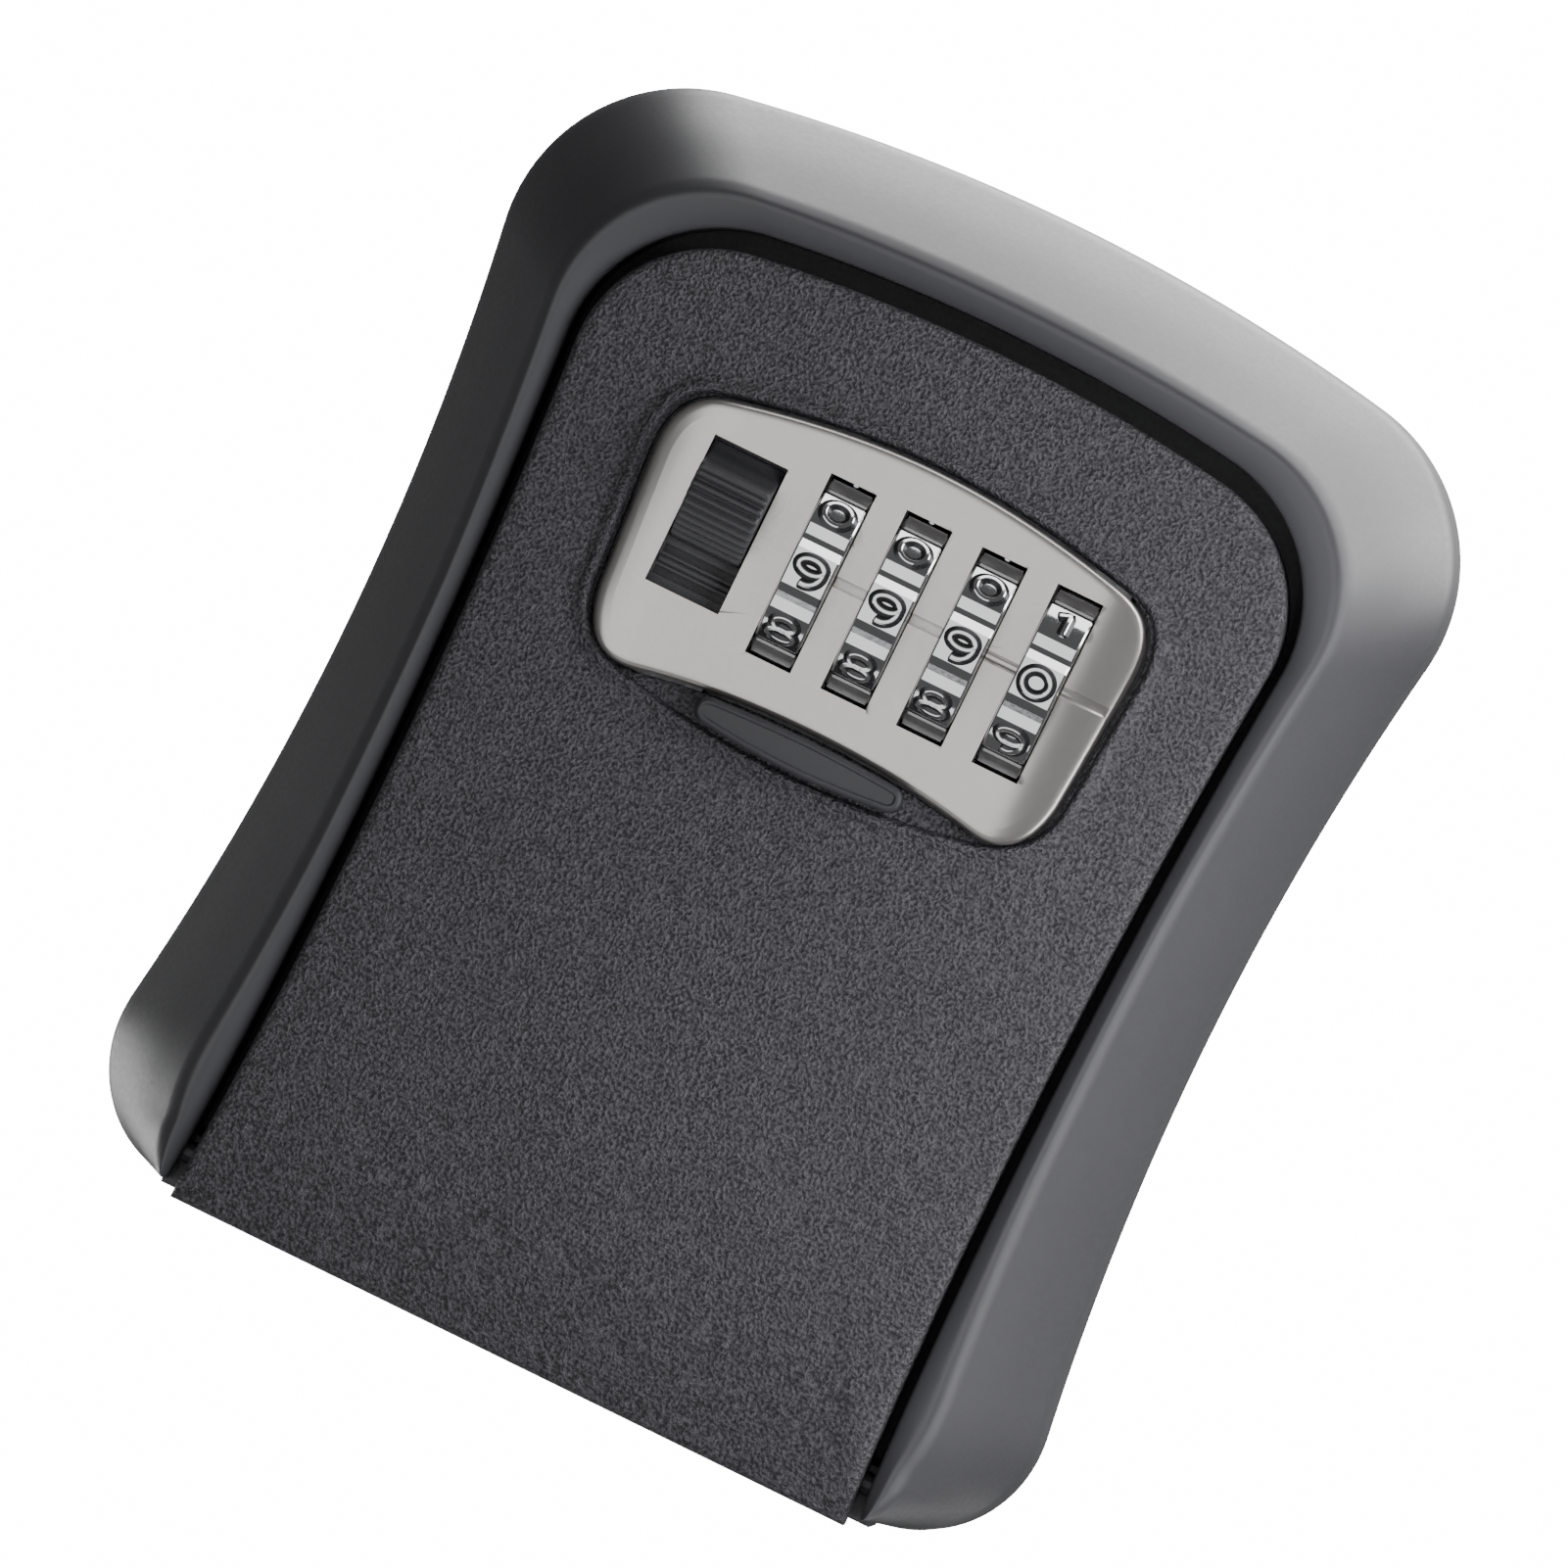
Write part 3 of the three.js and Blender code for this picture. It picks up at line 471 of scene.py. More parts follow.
def resample(points, spacing, closed=True):
    """Points at an even spacing along a polyline, with its sharp corners kept."""
    loop = points + points[:1] if closed else points
    keep = [0]
    for i in range(1, len(loop) - 1):
        a = Vector(loop[i]) - Vector(loop[i - 1])
        b = Vector(loop[i + 1]) - Vector(loop[i])
        if a.length > 1e-9 and b.length > 1e-9 and a.angle(b) > math.radians(SHARP_TURN):
            keep.append(i)
    keep.append(len(loop) - 1)
    result = []
    for start, end in zip(keep, keep[1:]):
        part = [Vector(p) for p in loop[start:end + 1]]
        lengths = [0.0]
        for p, q in zip(part, part[1:]):
            lengths.append(lengths[-1] + (q - p).length)
        steps = max(1, round(lengths[-1] / spacing))
        k = 0
        for s in range(steps):
            want = lengths[-1] * s / steps
            while k < len(part) - 2 and lengths[k + 1] <= want:
                k += 1
            span = lengths[k + 1] - lengths[k]
            t = (want - lengths[k]) / span if span > 1e-12 else 0.0
            result.append(tuple(part[k].lerp(part[k + 1], t)))
    if not closed:
        result.append(tuple(loop[-1]))
    return result


# ---- the frame round the door ----

EDGE_Y = -14.3  # where the side wall meets the long slope
CREST = -31.4
LIP_FRONT, LIP_REAR = -29.9, -20.5  # ends of the wall that lines the door opening
FRAME_WALL, SIDE_DRAFT = 2.2, 0.4
FULL_WIDTH = 9.0  # where the frame is narrower than this, its section is squeezed
FRAME_STEPS = (40, 30, 26)  # stations along the side, the corner and half of the top
RAIL_HALF = 37.0
RAIL_SECTION = [  # (y, z, radius of its own): a floor with a raised front lip
    (-20.8, -58.8, 0.5), (-3.3, -58.8), (-3.3, -57.1), (-18.3, -57.1, 0.4), (-18.3, -53.2), (-20.8, -53.2),
]


def rounded(points, radius, steps=4):
    """A section with its corners rounded: each point is (u, y) or (u, y, its own radius)."""
    result = []
    count = len(points)
    for i, p in enumerate(points):
        own = p[2] if len(p) > 2 else radius
        here = Vector(p[:2])
        before, after = Vector(points[i - 1][:2]) - here, Vector(points[(i + 1) % count][:2]) - here
        reach = min(own, before.length * 0.45, after.length * 0.45)
        if reach < 1e-4:
            result.append(tuple(here))
            continue
        a, b = here + before.normalized() * reach, here + after.normalized() * reach
        for s in range(steps + 1):
            t = s / steps
            result.append(tuple(a.lerp(here, t).lerp(here.lerp(b, t), t)))
    return result


def frame_section(width):
    """One cut through the frame: (distance in from the outline, depth) round the metal."""
    squeeze = min(1.0, width / FULL_WIDTH)
    wall = FRAME_WALL * squeeze
    # From the crest in to the opening: more at the top than at the sides.
    fall = max(0.12 * width, 0.45 * width - 3.45)
    edge = (SIDE_DRAFT * squeeze, EDGE_Y)
    shoulder = (width - fall - 1.25 * squeeze, CREST + 1.15)
    middle = ((edge[0] + shoulder[0]) / 2 - 0.5 * squeeze, (edge[1] + shoulder[1]) / 2 - 0.25)
    lip = width + 0.4 * squeeze
    return rounded([
        (0.0, 0.0, 0.5),
        (*edge, 1.8),
        (*middle, 5.0),
        (*shoulder, 0.7),
        (width - fall, CREST + 0.02, 0.7),
        (width - 0.3 * fall, CREST + 0.75, 0.8),
        (lip, LIP_FRONT, 0.45),
        (lip, LIP_REAR, 0.3),
        (width - 0.9 * wall, LIP_REAR, 0.3),
        (width - 0.9 * wall, LIP_FRONT + 4.6, 0.8),
        (edge[0] + 1.9 * wall, EDGE_Y - 2.0, 1.0),
        (SIDE_DRAFT * squeeze + wall, EDGE_Y + 2.0, 1.0),
        (wall, 0.0, 0.3),
    ], 0.5)


def frame_stations():
    """Pairs of points round the frame: on the body's outline and on the door opening."""
    foot = []
    for i in range(LOBE_STEPS):
        angle = -math.pi / 2 + (LOBE_END + math.pi / 2) * i / LOBE_STEPS
        foot.append((LOBE["x"] + LOBE["width"] * math.cos(angle),
                     LOBE["z"] + LOBE["height"] * math.sin(angle)))
    foot_top = LOBE["z"] + LOBE["height"] * math.sin(LOBE_END)
    outer = foot + half_arch(BODY, foot_top, FRAME_STEPS)
    inner = [(side_x(OPENING, z), z) for _, z in foot] + half_arch(OPENING, foot_top, FRAME_STEPS)
    right = list(zip(outer, inner))
    return right + [((-a[0], a[1]), (-b[0], b[1])) for a, b in reversed(right[:-1])]


def rail_piece():
    """The rail that closes the frame below the door."""
    section = rounded(RAIL_SECTION, 0.25)
    return loft("rail", [[(x, y, z) for y, z in section] for x in (-RAIL_HALF, RAIL_HALF)])


def frame_piece():
    rings = []
    for outer, inner in frame_stations():
        width = math.dist(outer, inner)
        ring = []
        for along, y in frame_section(width):
            t = along / width
            ring.append((outer[0] + (inner[0] - outer[0]) * t, y, outer[1] + (inner[1] - outer[1]) * t))
        rings.append(ring)
    item = loft("frame_shell", rings)
    boolean(item, rail_piece(), "UNION")
    finish_piece(item, "housing", "frame_paint", "outer_frame", sharp=50)


frame_piece()


# ---- the door ----

DOOR_FRONT, DOOR_BOTTOM = -32.0, -59.4
DOOR_SKIN_REAR = -29.8
DOOR_WALL = 1.9
DOOR_STEPS = (40, 24, 24)
CURL_TOP, CURL = -54.0, 0.045  # below this height the face curves back by CURL times the distance squared
DOOR_REAR = [  # (top of a stretch of the side wall, depth of its rear edge)
    (-56.9, -24.0), (-50.5, -23.0), (math.inf, -21.3),
]
DOOR_EDGE = [  # the face's rounded outer edge: (distance in from the outline, depth)
    (0.0, -30.9), (0.06, -31.35), (0.25, -31.72), (0.55, -31.93), (0.95, DOOR_FRONT),
]
FACE_SHARES = (0.2, 0.4, 0.6, 0.8, 0.93)  # rings on the face, from its edge in to the bead
PLATE_HOLE = [  # the hole behind the dial plate: (distance out from the plate's outline, depth)
    (0.4, -31.72), (0.32, -31.62), (0.3, DOOR_SKIN_REAR),
]
BEAD = [  # the rounded bead round the recess: (distance out from the recess's outline, depth)
    (1.5, -32.0), (1.1, -32.12), (0.75, -32.42), (0.45, -32.68), (0.2, -32.8), (-0.02, -32.76), (-0.2, -32.5),
    (-0.32, -32.1), (-0.44, -31.75),
]
BOSSES = ((23.5, 36.2), (-23.5, 36.2), (21.0, -0.2), (-21.0, -0.2))
BOSS_RADIUS, BOSS_REAR, THREAD_RADIUS, THREAD_END = 2.5, -15.0, 1.4, -23.0
HINGE_Y, HINGE_Z, PIN_HOLE_RADIUS = -26.8, -55.0, 1.3
PLATE_CENTRE = (0.0, 17.5)
PLATE_CURVES = [  # right half of the dial plate's outline, bottom to top: control point, end point
    ((9.5, 5.75), (17.5, 4.05)),
    ((22.7, 3.0), (23.8, 9.5)),
    ((24.3, 15.5), (24.95, 23.5)),
    ((25.2, 29.2), (20.5, 30.35)),
    ((9.5, 33.0), (0.0, 33.0)),
]
RECESS_CURVES = [  # the shallow recess round the plate and the finger lip
    ((9.0, 1.0), (17.5, 2.75)),
    ((24.0, 3.9), (24.85, 9.5)),
    ((25.3, 15.5), (25.95, 23.5)),
    ((26.3, 30.1), (21.0, 31.1)),
    ((10.0, 33.7), (0.0, 33.7)),
]


def curve_outline(start, curves, steps=12):
    """A closed outline from the right half's quadratic curves."""
    half = [start]
    for control, end in curves:
        half += bend(half[-1], control, end, steps)
    half[-1] = (0.0, half[-1][1])
    return half + [(-x, z) for x, z in reversed(half[1:-1])]


PLATE_OUTLINE = curve_outline((0.0, 5.75), PLATE_CURVES)
RECESS_OUTLINE = curve_outline((0.0, 1.0), RECESS_CURVES)


def grow(outline, by):
    """An outline moved outwards by a distance."""
    count = len(outline)
    result = []
    for i, p in enumerate(outline):
        a, b = Vector(outline[i - 1]), Vector(outline[(i + 1) % count])
        along = (b - a).normalized()
        result.append((p[0] + along.y * by, p[1] - along.x * by))
    return result


def cast(outline, angles):
    """Where rays from the plate's centre meet an outline."""
    centre = Vector(PLATE_CENTRE)
    spokes = [Vector(p) - centre for p in outline]
    polar = sorted((math.atan2(v.y, v.x), v) for v in spokes)
    polar = [(polar[-1][0] - 2 * math.pi, polar[-1][1])] + polar + [(polar[0][0] + 2 * math.pi, polar[0][1])]
    hits = []
    for angle in angles:
        ray = Vector((math.cos(angle), math.sin(angle)))
        k = next(i for i in range(len(polar) - 1) if polar[i][0] <= angle <= polar[i + 1][0] + 1e-12)
        p, q = polar[k][1], polar[k + 1][1]
        edge = q - p
        cross = ray.x * edge.y - ray.y * edge.x
        reach = (p.x * edge.y - p.y * edge.x) / cross if abs(cross) > 1e-12 else p.length
        hits.append(tuple(centre + ray * reach))
    return hits


def door_y(z, y):
    """The door's face curves back a little towards its bottom edge."""
    return y + CURL * max(0.0, CURL_TOP - z) ** 2


def between(a, b, t):
    """The point (x, z) at a share t of the way from a to b."""
    return a[0] + (b[0] - a[0]) * t, a[1] + (b[1] - a[1]) * t


def door_outline(by):
    return both_sides(half_arch(inset(DOOR, by), DOOR_BOTTOM + by, DOOR_STEPS))


def door_piece():
    outer = resample(door_outline(0.0), 1.0)
    angles = [math.atan2(z - PLATE_CENTRE[1], x - PLATE_CENTRE[0]) for x, z in outer]

    def curled(outline, y):
        return [(x, door_y(z, y), z) for x, z in cast(outline, angles)]

    def flat(outline, y):
        return [(x, y, z) for x, z in cast(outline, angles)]

    def rear(z):
        """How far back the door's side wall reaches at a height."""
        return next(y for top, y in DOOR_REAR if z < top)

    wall, wall_in = cast(door_outline(0.0), angles), cast(door_outline(DOOR_WALL), angles)
    rings = [[(x, rear(z), z) for x, z in wall]]
    for by, y in DOOR_EDGE:
        rings.append(curled(door_outline(by), y))
    edge = cast(door_outline(DOOR_EDGE[-1][0]), angles)
    hole = cast(grow(RECESS_OUTLINE, BEAD[0][0]), angles)
    for t in FACE_SHARES:
        face = [between(a, b, t) for a, b in zip(edge, hole)]
        rings.append([(x, door_y(z, DOOR_FRONT), z) for x, z in face])
    for by, y in BEAD:
        rings.append(flat(grow(RECESS_OUTLINE, by), y))
    for by, y in PLATE_HOLE:
        rings.append(flat(grow(PLATE_OUTLINE, by), y))
    rim = cast(grow(PLATE_OUTLINE, PLATE_HOLE[-1][0]), angles)
    inside = [between(a, b, 0.5) for a, b in zip(rim, wall_in)]
    rings.append([(x, DOOR_SKIN_REAR, z) for x, z in inside])
    rings.append([(x, door_y(z, DOOR_SKIN_REAR), z) for x, z in wall_in])
    rings.append([(x, rear(z), z) for x, z in wall_in])
    item = loft("door_panel", rings, round_trip=True)
    for at in BOSSES:
        boolean(item, rod("boss", "y", BOSS_RADIUS, BOSS_REAR, -31.0, at, 32), "UNION")
        boolean(item, rod("thread", "y", THREAD_RADIUS, BOSS_REAR + 1.0, THREAD_END, at, 20), "DIFFERENCE")
    pin = rod("pin_hole", "x", PIN_HOLE_RADIUS, -37.0, 37.0, (HINGE_Y, HINGE_Z), 24)
    boolean(item, pin, "DIFFERENCE")
    finish_piece(item, "door", "door_powder_coat", "door_shell", sharp=50)


door_piece()

# ---- the dial plate ----

PLATE_FRONT, PLATE_REAR, PLATE_SKIN = -34.4, -30.8, 1.8
PLATE_EDGE = [  # the skirt and its rounded edge: (distance out from the outline, depth)
    (0.0, -33.55), (-0.05, -33.95), (-0.22, -34.22), (-0.5, -34.35), (-0.95, PLATE_FRONT),
]
AXLE_Y, AXLE_Z = -27.6, 19.25
WHEEL_RADIUS, GROOVE_RADIUS, WHEEL_BORE, WHEEL_WIDTH = 10.1, 9.55, 4.0, 4.46
WHEEL_X = [-6.45 + 7.85 * n for n in range(4)]
WINDOW_HALF, WINDOW_LOW, WINDOW_HIGH = 2.35, 10.0, 28.5
LEVER_LEFT, LEVER_RIGHT, LEVER_LOW, LEVER_HIGH = -20.15, -12.55, 12.0, 27.0
FLANK_START, FLANK_CURVE = 18.6, 0.05
INDEX_Z = AXLE_Z + 0.3
INDEX_RADIUS, INDEX_DEPTH = 0.62, 0.34
INDEX_OVERRUN = 0.4  # how far each stretch of the line runs past the edges of its windows
INDEX_END = 24.1
CUT_DEPTHS = (-36.5, -30)  # the window tools reach from in front of the plate to behind it
HOLLOW_INSET = 1.3
PLATE_SHARES = (0.97, 0.94, 0.91, 0.88, 0.85, 0.82, 0.79, 0.76, 0.72, 0.4)  # rings on the face


def crown(x):
    """How far the plate's face lies behind its flat middle at a distance to the side."""
    return FLANK_CURVE * max(0.0, abs(x) - FLANK_START) ** 2


def index_line(start, end):
    """The tool that engraves a stretch of index line across the plate."""
    rings = []
    for x in (start + (end - start) * i / 8 for i in range(9)):
        centre = PLATE_FRONT + crown(x) - INDEX_RADIUS + INDEX_DEPTH
        rings.append([(x, centre + a, INDEX_Z + b) for a, b in circle(INDEX_RADIUS, 16)])
    return loft("index_line", rings)


def plate_blank():
    """One skin: the roof, wall and rim of the hollow behind the plate, then its skirt, edge and face."""
    fine = resample(PLATE_OUTLINE, 0.55)
    angles = [math.atan2(z - PLATE_CENTRE[1], x - PLATE_CENTRE[0]) for x, z in fine]

    def ring(by, y):
        return [(x, y + crown(x), z) for x, z in cast(grow(PLATE_OUTLINE, by), angles)]

    hollow = cast(grow(PLATE_OUTLINE, -HOLLOW_INSET), angles)
    rings = [[(x, y, z) for x, z in hollow] for y in (PLATE_FRONT + PLATE_SKIN, PLATE_REAR)]
    rings.append([(x, PLATE_REAR, z) for x, z in cast(grow(PLATE_OUTLINE, -0.02), angles)])
    rings += [ring(by, y) for by, y in PLATE_EDGE]
    rim = cast(grow(PLATE_OUTLINE, PLATE_EDGE[-1][0]), angles)
    for t in PLATE_SHARES:
        points = [between(PLATE_CENTRE, p, t) for p in rim]
        rings.append([(x, PLATE_FRONT + crown(x), z) for x, z in points])
    return loft("plate_face", rings)


def dial_plate():
    item = plate_blank()
    windows = [(x - WINDOW_HALF, x + WINDOW_HALF, WINDOW_LOW, WINDOW_HIGH) for x in WHEEL_X]
    for left, right, low, high in windows + [(LEVER_LEFT, LEVER_RIGHT, LEVER_LOW, LEVER_HIGH)]:
        boolean(item, block("window", (left, right), CUT_DEPTHS, (low, high)), "DIFFERENCE")
    bevel(item, width=0.22, degrees=55, segments=3)
    lefts = [LEVER_RIGHT] + [right for _, right, _, _ in windows]
    rights = [left for left, _, _, _ in windows]
    for left, right in zip(lefts, rights):
        boolean(item, index_line(left - INDEX_OVERRUN, right + INDEX_OVERRUN), "DIFFERENCE")
    boolean(item, index_line(lefts[-1] - INDEX_OVERRUN, INDEX_END), "DIFFERENCE")
    finish_piece(item, "door", "plate_plastic", "dial_plate", sharp=35, weighted=True)


dial_plate()


# ---- the finger lip under the plate ----

LIP_START = (0.0, 1.65)
LIP_CURVES = [  # right half of the lip's outline, bottom to top: control point, end point
    ((4.5, 1.65), (9.6, 2.25)),
    ((10.75, 2.7), (10.6, 3.7)),
    ((10.5, 4.75), (9.2, 4.85)),
    ((4.0, 5.15), (0.0, 5.2)),
]
LIP_RINGS = [  # (distance out from the outline, depth): the side, the rounded rim and a shallow dish
    (0.0, -32.3), (0.0, -35.75), (-0.1, -36.1), (-0.3, -36.3),
    (-0.5, -36.36), (-0.62, -36.3), (-0.72, -36.12),
]
DISH_Y, DISH_DEPTH, DISH_MIDDLE_Z = -36.12, 0.12, 3.4


def finger_lip():
    outline = curve_outline(LIP_START, LIP_CURVES, 8)
    rings = [[(x, y, z) for x, z in grow(outline, by)] for by, y in LIP_RINGS]
    for t in (0.75, 0.5, 0.25):
        y = DISH_Y + DISH_DEPTH * (1 - t)
        rings.append([(x * t, y, DISH_MIDDLE_Z + (z - DISH_MIDDLE_Z) * t) for x, z in grow(outline, -0.75)])
    item = loft("finger_lip_moulded", rings)
    finish_piece(item, "door", "lip_plastic", "finger_lip", sharp=50)


finger_lip()


# ---- the number wheels ----

def curve_points(*parts):
    """Points along a digit's stroke: lines as (x, z) ends, arcs as (cx, cz, rx, rz, from, to) in degrees."""
    points = []
    for part in parts:
        if len(part) == 2:
            points.append(part)
            continue
        cx, cz, rx, rz, start, end = part
        steps = max(4, round(abs(end - start) / 15))
        for i in range(steps + 1):
            a = math.radians(start + (end - start) * i / steps)
            points.append((cx + rx * math.cos(a), cz + rz * math.sin(a)))
    return points


DIGITS = {  # strokes in a box from -1 to 1
    0: [curve_points((0, 0, 1, 1, 0, 360))],
    1: [curve_points((-0.75, 0.55), (0.1, 1.0), (0.1, -1.0))],
    2: [curve_points((0, 0.42, 0.95, 0.58, 165, -25), (-0.95, -0.95), (1.0, -0.95))],
    3: [curve_points((0, 0.48, 0.85, 0.52, 150, -75), (0, -0.48, 0.95, 0.52, 75, -150))],
    4: [curve_points((0.45, -1.0), (0.45, 1.0), (-1.0, -0.45), (1.0, -0.45))],
    5: [curve_points((0.85, 1.0), (-0.75, 1.0), (-0.85, 0.15), (0, -0.35, 0.95, 0.65, 120, -150))],
    6: [curve_points((0, -0.42, 0.95, 0.58, 0, 360)), curve_points((0.1, -0.1, 1.05, 1.1, 72, 195))],
    7: [curve_points((-0.95, 0.95), (0.95, 0.95), (-0.3, -1.0))],
    8: [curve_points((0, 0.5, 0.8, 0.5, 0, 360)), curve_points((0, -0.48, 0.98, 0.52, 0, 360))],
    9: [curve_points((0, 0.42, 0.95, 0.58, 0, 360)), curve_points((-0.1, 0.1, 1.05, 1.1, 15, -108))],
}
DIGIT_HALF_WIDTH, DIGIT_HALF_HEIGHT = 1.36, 1.22
STROKE_SPACING = 0.16
STROKE = [  # section of a stroke: (to the side, height over the pad)
    (-0.64, -0.12), (-0.6, 0.02), (-0.24, 0.25), (-0.13, 0.3),
    (0.13, 0.3), (0.24, 0.25), (0.6, 0.02), (0.64, -0.12),
]
STROKE_FLANKS = (0, 1, 5, 6)  # the parts of the section in painted shade: a darker chrome that stands in for the shade on the stroke flanks
TIP_WIDTH, TIP_HEIGHT = 0.45, 0.4  # shares of the section at a stroke's open ends
DIGIT_COUNT = 10
PAD_PITCH = 2 * math.pi / DIGIT_COUNT
PAD_HALF, GROOVE_HALF = 0.185, 0.03  # radians
WHEEL_EDGE = [  # a wheel's rounded edge: (distance in from its side, drop below the pads)
    (0.0, 0.32), (0.07, 0.1), (0.22, 0.0),
]


def stroke_mesh(bm, path, wheel_x, middle):
    """Adds one raised stroke on the wheel's pad at an angle."""
    scaled = [(x * DIGIT_HALF_WIDTH, z * DIGIT_HALF_HEIGHT) for x, z in path]
    points = resample(scaled, STROKE_SPACING, closed=False)
    closed = math.dist(points[0], points[-1]) < 1e-6
    if closed:
        points = points[:-1]
    count = len(points)
    rings = []
    for i, (u, v) in enumerate(points):
        before = points[i - 1] if closed or i else points[i]
        after = points[(i + 1) % count] if closed or i + 1 < count else points[i]
        along = (Vector(after) - Vector(before)).normalized()
        at_tip = not closed and i in (0, count - 1)
        narrow, lower = (TIP_WIDTH, TIP_HEIGHT) if at_tip else (1.0, 1.0)
        ring = []
        for side, height in STROKE:
            x = u + along.y * side * narrow
            z = v - along.x * side * narrow
            radius = WHEEL_RADIUS + (height if height < 0 else height * lower)
            angle = middle + z / WHEEL_RADIUS
            ring.append(bm.verts.new(((wheel_x + x) * MM, (AXLE_Y - radius * math.cos(angle)) * MM,
                                      (AXLE_Z + radius * math.sin(angle)) * MM)))
        rings.append(ring)
    for i in range(count if closed else count - 1):
        a, b = rings[i], rings[(i + 1) % count]
        for k in range(len(STROKE)):
            j = (k + 1) % len(STROKE)
            face = bm.faces.new((a[k], a[j], b[j], b[k]))
            # the stroke flanks get the painted-shade chrome
            face.material_index = 1 if k in STROKE_FLANKS else 0
    if not closed:
        bm.faces.new(rings[0])
        bm.faces.new(list(reversed(rings[-1])))


def wheel_section():
    """Angle and radius round a wheel: a flat pad for each digit, and a groove with sloping flanks between."""
    section = []
    for i in range(DIGIT_COUNT):
        middle = i * PAD_PITCH
        for part in (-1.0, -0.6, -0.2, 0.2, 0.6, 1.0):
            section.append((middle + part * PAD_HALF, WHEEL_RADIUS))
        for part in (-1.0, 1.0):
            section.append((middle + PAD_PITCH / 2 + part * GROOVE_HALF, GROOVE_RADIUS))
    return section


def number_wheel(n, shown):
    """A wheel whose front pad shows this digit; the digits rise up the wheel."""
    x = WHEEL_X[n]
    half = WHEEL_WIDTH / 2
    section = wheel_section()

    def ring(at, less=0.0):
        """The section at a place along the axle, lowered by an amount."""
        return [(x + at, AXLE_Y - (r - less) * math.cos(a), AXLE_Z + (r - less) * math.sin(a))
                for a, r in section]

    def bore(at):
        return [(x + at, AXLE_Y - WHEEL_BORE * math.cos(a), AXLE_Z + WHEEL_BORE * math.sin(a))
                for a, _ in section]

    rings = [bore(-half)] + [ring(-half + by, less) for by, less in WHEEL_EDGE] + [ring(0.0)]
    rings += [ring(half - by, less) for by, less in reversed(WHEEL_EDGE)] + [bore(half)]
    item = loft(f"digit_wheel_{n + 1}", rings, round_trip=True)
    bm = bmesh.new()
    bm.from_mesh(item.data)
    for k in range(DIGIT_COUNT):
        for path in DIGITS[(shown + k) % DIGIT_COUNT]:
            stroke_mesh(bm, path, x, k * PAD_PITCH)
    bm.to_mesh(item.data)
    bm.free()
    finish_piece(item, f"wheel_{n + 1}", "chrome", f"number_wheel_{n + 1}", sharp=20, second="stroke_flank_painted_shade")


for n, shown in enumerate((9, 9, 9, 0)):
    number_wheel(n, shown)


# ---- the open lever ----

GRIP_CURVES = [  # the grip from the side, as (y, z), top to bottom: control point, end point, steps
    ((-33.9, 25.0), (-36.8, 24.6), 14),
    ((-39.5, 24.4), (-39.9, 23.2), 10),
    ((-40.0, 22.4), (-39.7, 21.6), 6),
    ((-38.6, 18.9), (-33.4, 16.6), 24),
]
GRIP_TOP = (-33.0, 26.6)
GRIP_CENTRE = (-33.0, 21.5)
RIBS = dict(start=6.9, end=17.3, pitch=1.15, height=0.6)
RIB_SAMPLES = 260
BASE_RIBS = (13.3, 14.4, 15.5)
RIVET_HOLES = (17.7, 20.8)
STEM_LEFT, STEM_RIGHT, STEM_MIDDLE = -19.2, -14.6, -16.9
LEVER_GAP = 0.2  # between the grip and each side of its window
BASE_BOX = ((-20.9, -11.6), (-31.0, -32.2), (11.0, 28.2))  # X, Y and Z ends
STEM_BOX = ((STEM_LEFT, STEM_RIGHT), (-17.0, -31.5), (16.0, 22.5))


def ribbed(points, start, end, pitch, height):
    """A side profile (y, z) with small ribs between two places along it."""
    lengths = [0.0]
    for p, q in zip(points, points[1:]):
        lengths.append(lengths[-1] + math.dist(p, q))
    result = []
    k = 0
    for i in range(RIB_SAMPLES + 1):
        want = lengths[-1] * i / RIB_SAMPLES
        while k < len(points) - 2 and lengths[k + 1] < want:
            k += 1
        p, q = Vector(points[k]), Vector(points[k + 1])
        t = (want - lengths[k]) / (lengths[k + 1] - lengths[k])
        here, along = p.lerp(q, t), (q - p).normalized()
        rise = 0.0
        if start < want < end:
            phase = (want - start) / pitch * 2 * math.pi
            rise = height * 0.5 * (1 - math.cos(phase)) ** 1.4 / 2 ** 0.4
        result.append((here.x - along.y * rise, here.y + along.x * rise))
    return result


def open_lever():
    side = [GRIP_TOP]
    for control, end, steps in GRIP_CURVES:
        side += bend(side[-1], control, end, steps)
    profile = [(-31.4, 16.6), (-31.4, 26.8)] + ribbed(side, **RIBS)
    left, right = LEVER_LEFT + LEVER_GAP, LEVER_RIGHT - LEVER_GAP
    rings = []
    for x, shrink in ((left, 0.975), (left + 0.12, 0.992), (left + 0.4, 1.0),
                      (right - 0.4, 1.0), (right - 0.12, 0.992), (right, 0.975)):
        rings.append([(x, *between(GRIP_CENTRE, p, shrink)) for p in profile])
    item = loft("lever_grip", rings)
    boolean(item, block("base", *BASE_BOX), "UNION")
    for z in BASE_RIBS:
        boolean(item, rod("rib", "x", 0.45, left, right, (-32.08, z), 20), "UNION")
    boolean(item, block("stem", *STEM_BOX), "UNION")
    for z in RIVET_HOLES:
        boolean(item, rod("hole", "y", 1.3, -16.0, -20.4, (STEM_MIDDLE, z), 24), "DIFFERENCE")
    finish_piece(item, "lever", "black_plastic", "open_lever", sharp=40, weighted=True)


open_lever()


# ---- the lever's spring ----

SPRING_TURNS, SPRING_RADIUS, SPRING_WIRE = 6.0, 2.2, 0.38
SPRING_LOW, SPRING_HIGH, SPRING_Y = 6.35, 15.5, -24.0
SPRING_STEPS = 240


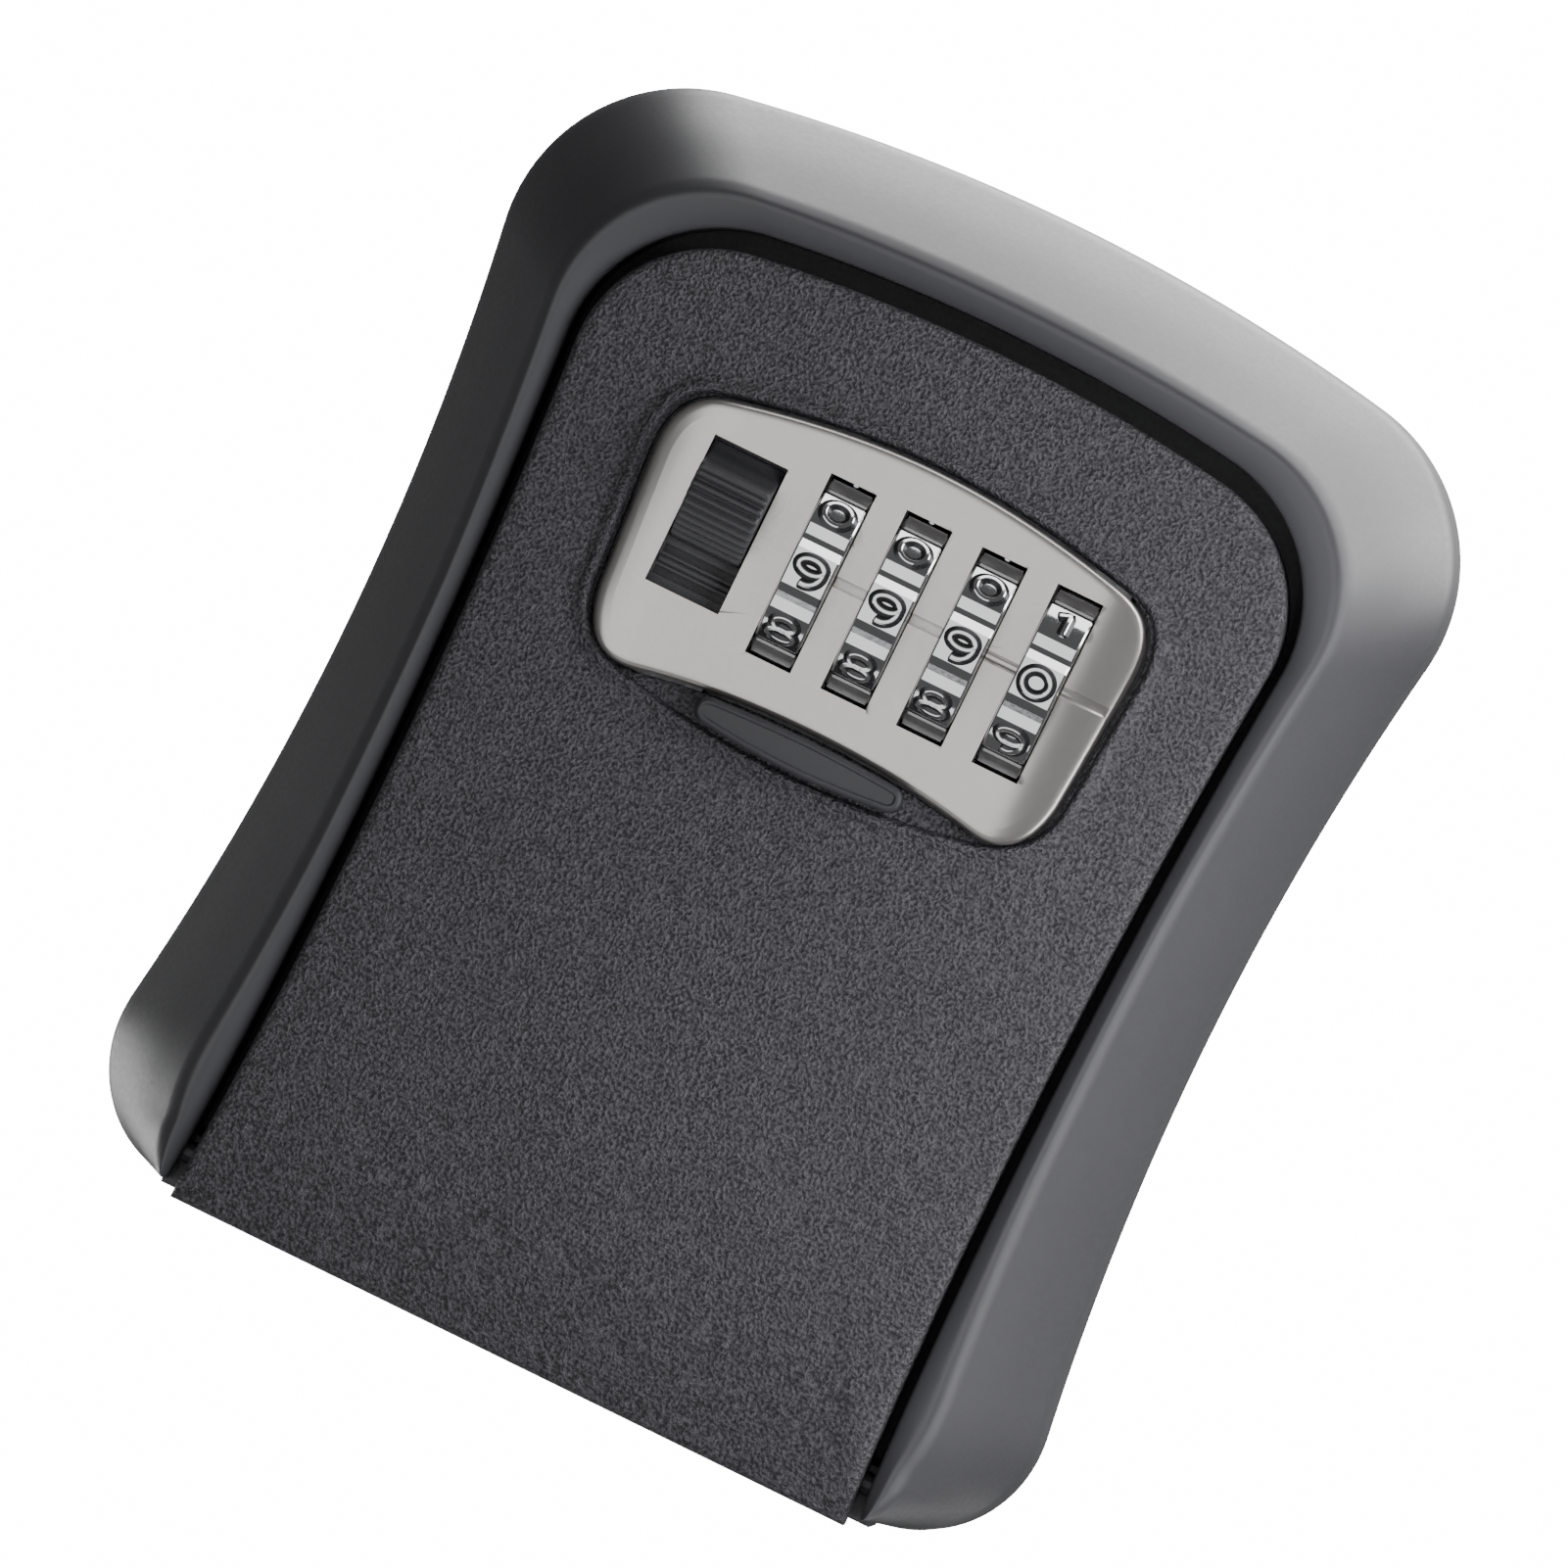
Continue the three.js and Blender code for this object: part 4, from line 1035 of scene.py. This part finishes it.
def lever_spring():
    up = Vector((0, 0, 1))
    rings = []
    for i in range(SPRING_STEPS + 1):
        t = i / SPRING_STEPS
        angle = 2 * math.pi * SPRING_TURNS * t
        rise = min(1.0, max(0.0, (t - 0.06) / 0.88))  # the end coils lie flat
        out = Vector((math.cos(angle), math.sin(angle), 0))
        height = SPRING_LOW + (SPRING_HIGH - SPRING_LOW) * rise
        centre = Vector((STEM_MIDDLE, SPRING_Y, height)) + out * SPRING_RADIUS
        rings.append([tuple(centre + out * SPRING_WIRE * math.cos(a) + up * SPRING_WIRE * math.sin(a))
                      for a in (2 * math.pi * k / 10 for k in range(10))])
    item = loft("spring_wire", rings)
    finish_piece(item, "door", "steel", "lever_spring", sharp=60)
    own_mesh(item)


lever_spring()


# ---- CAD nodes that keep their shape ----

KEPT = {  # look, width of the softened edges
    "rear_case": ("case_plastic", 0.35),
    "door_seal": ("rubber", 0.3),
    "strike_plate": ("steel", 0.15),
    "strike_rivet_right": ("steel", 0.2),
    "strike_rivet_left": ("steel", 0.2),
    "key_hook": ("steel", 0.1),
    "hinge_pin_right": ("dark_steel", 0.2),
    "hinge_pin_left": ("dark_steel", 0.2),
    "wheel_carrier": ("zinc", 0.25),
    "wheel_axle": ("steel", 0.15),
    "axle_clip": ("steel", 0.1),
    "detent_spring": ("steel", 0.08),
    "module_cover": ("zinc_sheet", 0.2),
    "latch_plate": ("zinc_sheet", 0.12),
    "lever_rivet_1": ("steel", 0.15),
    "lever_rivet_2": ("steel", 0.15),
    "reset_lever": ("black_plastic", 0.15),
    **{f"case_screw_{i}": ("zinc", 0.12) for i in range(1, 5)},
    **{f"module_screw_{i}": ("zinc", 0.12) for i in range(1, 5)},
    **{f"code_sleeve_{i}": ("brass", 0.12) for i in range(1, 5)},
}


def dress_kept_nodes():
    for name, (look, width) in KEPT.items():
        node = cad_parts[name]
        node.data.materials.clear()
        node.data.materials.append(LOOKS[look])
        edge = node.modifiers.new("soft_edges", "BEVEL")
        edge.width = width * MM
        edge.segments = 2
        edge.limit_method = "ANGLE"
        edge.angle_limit = math.radians(35)
        edge.harden_normals = False


dress_kept_nodes()
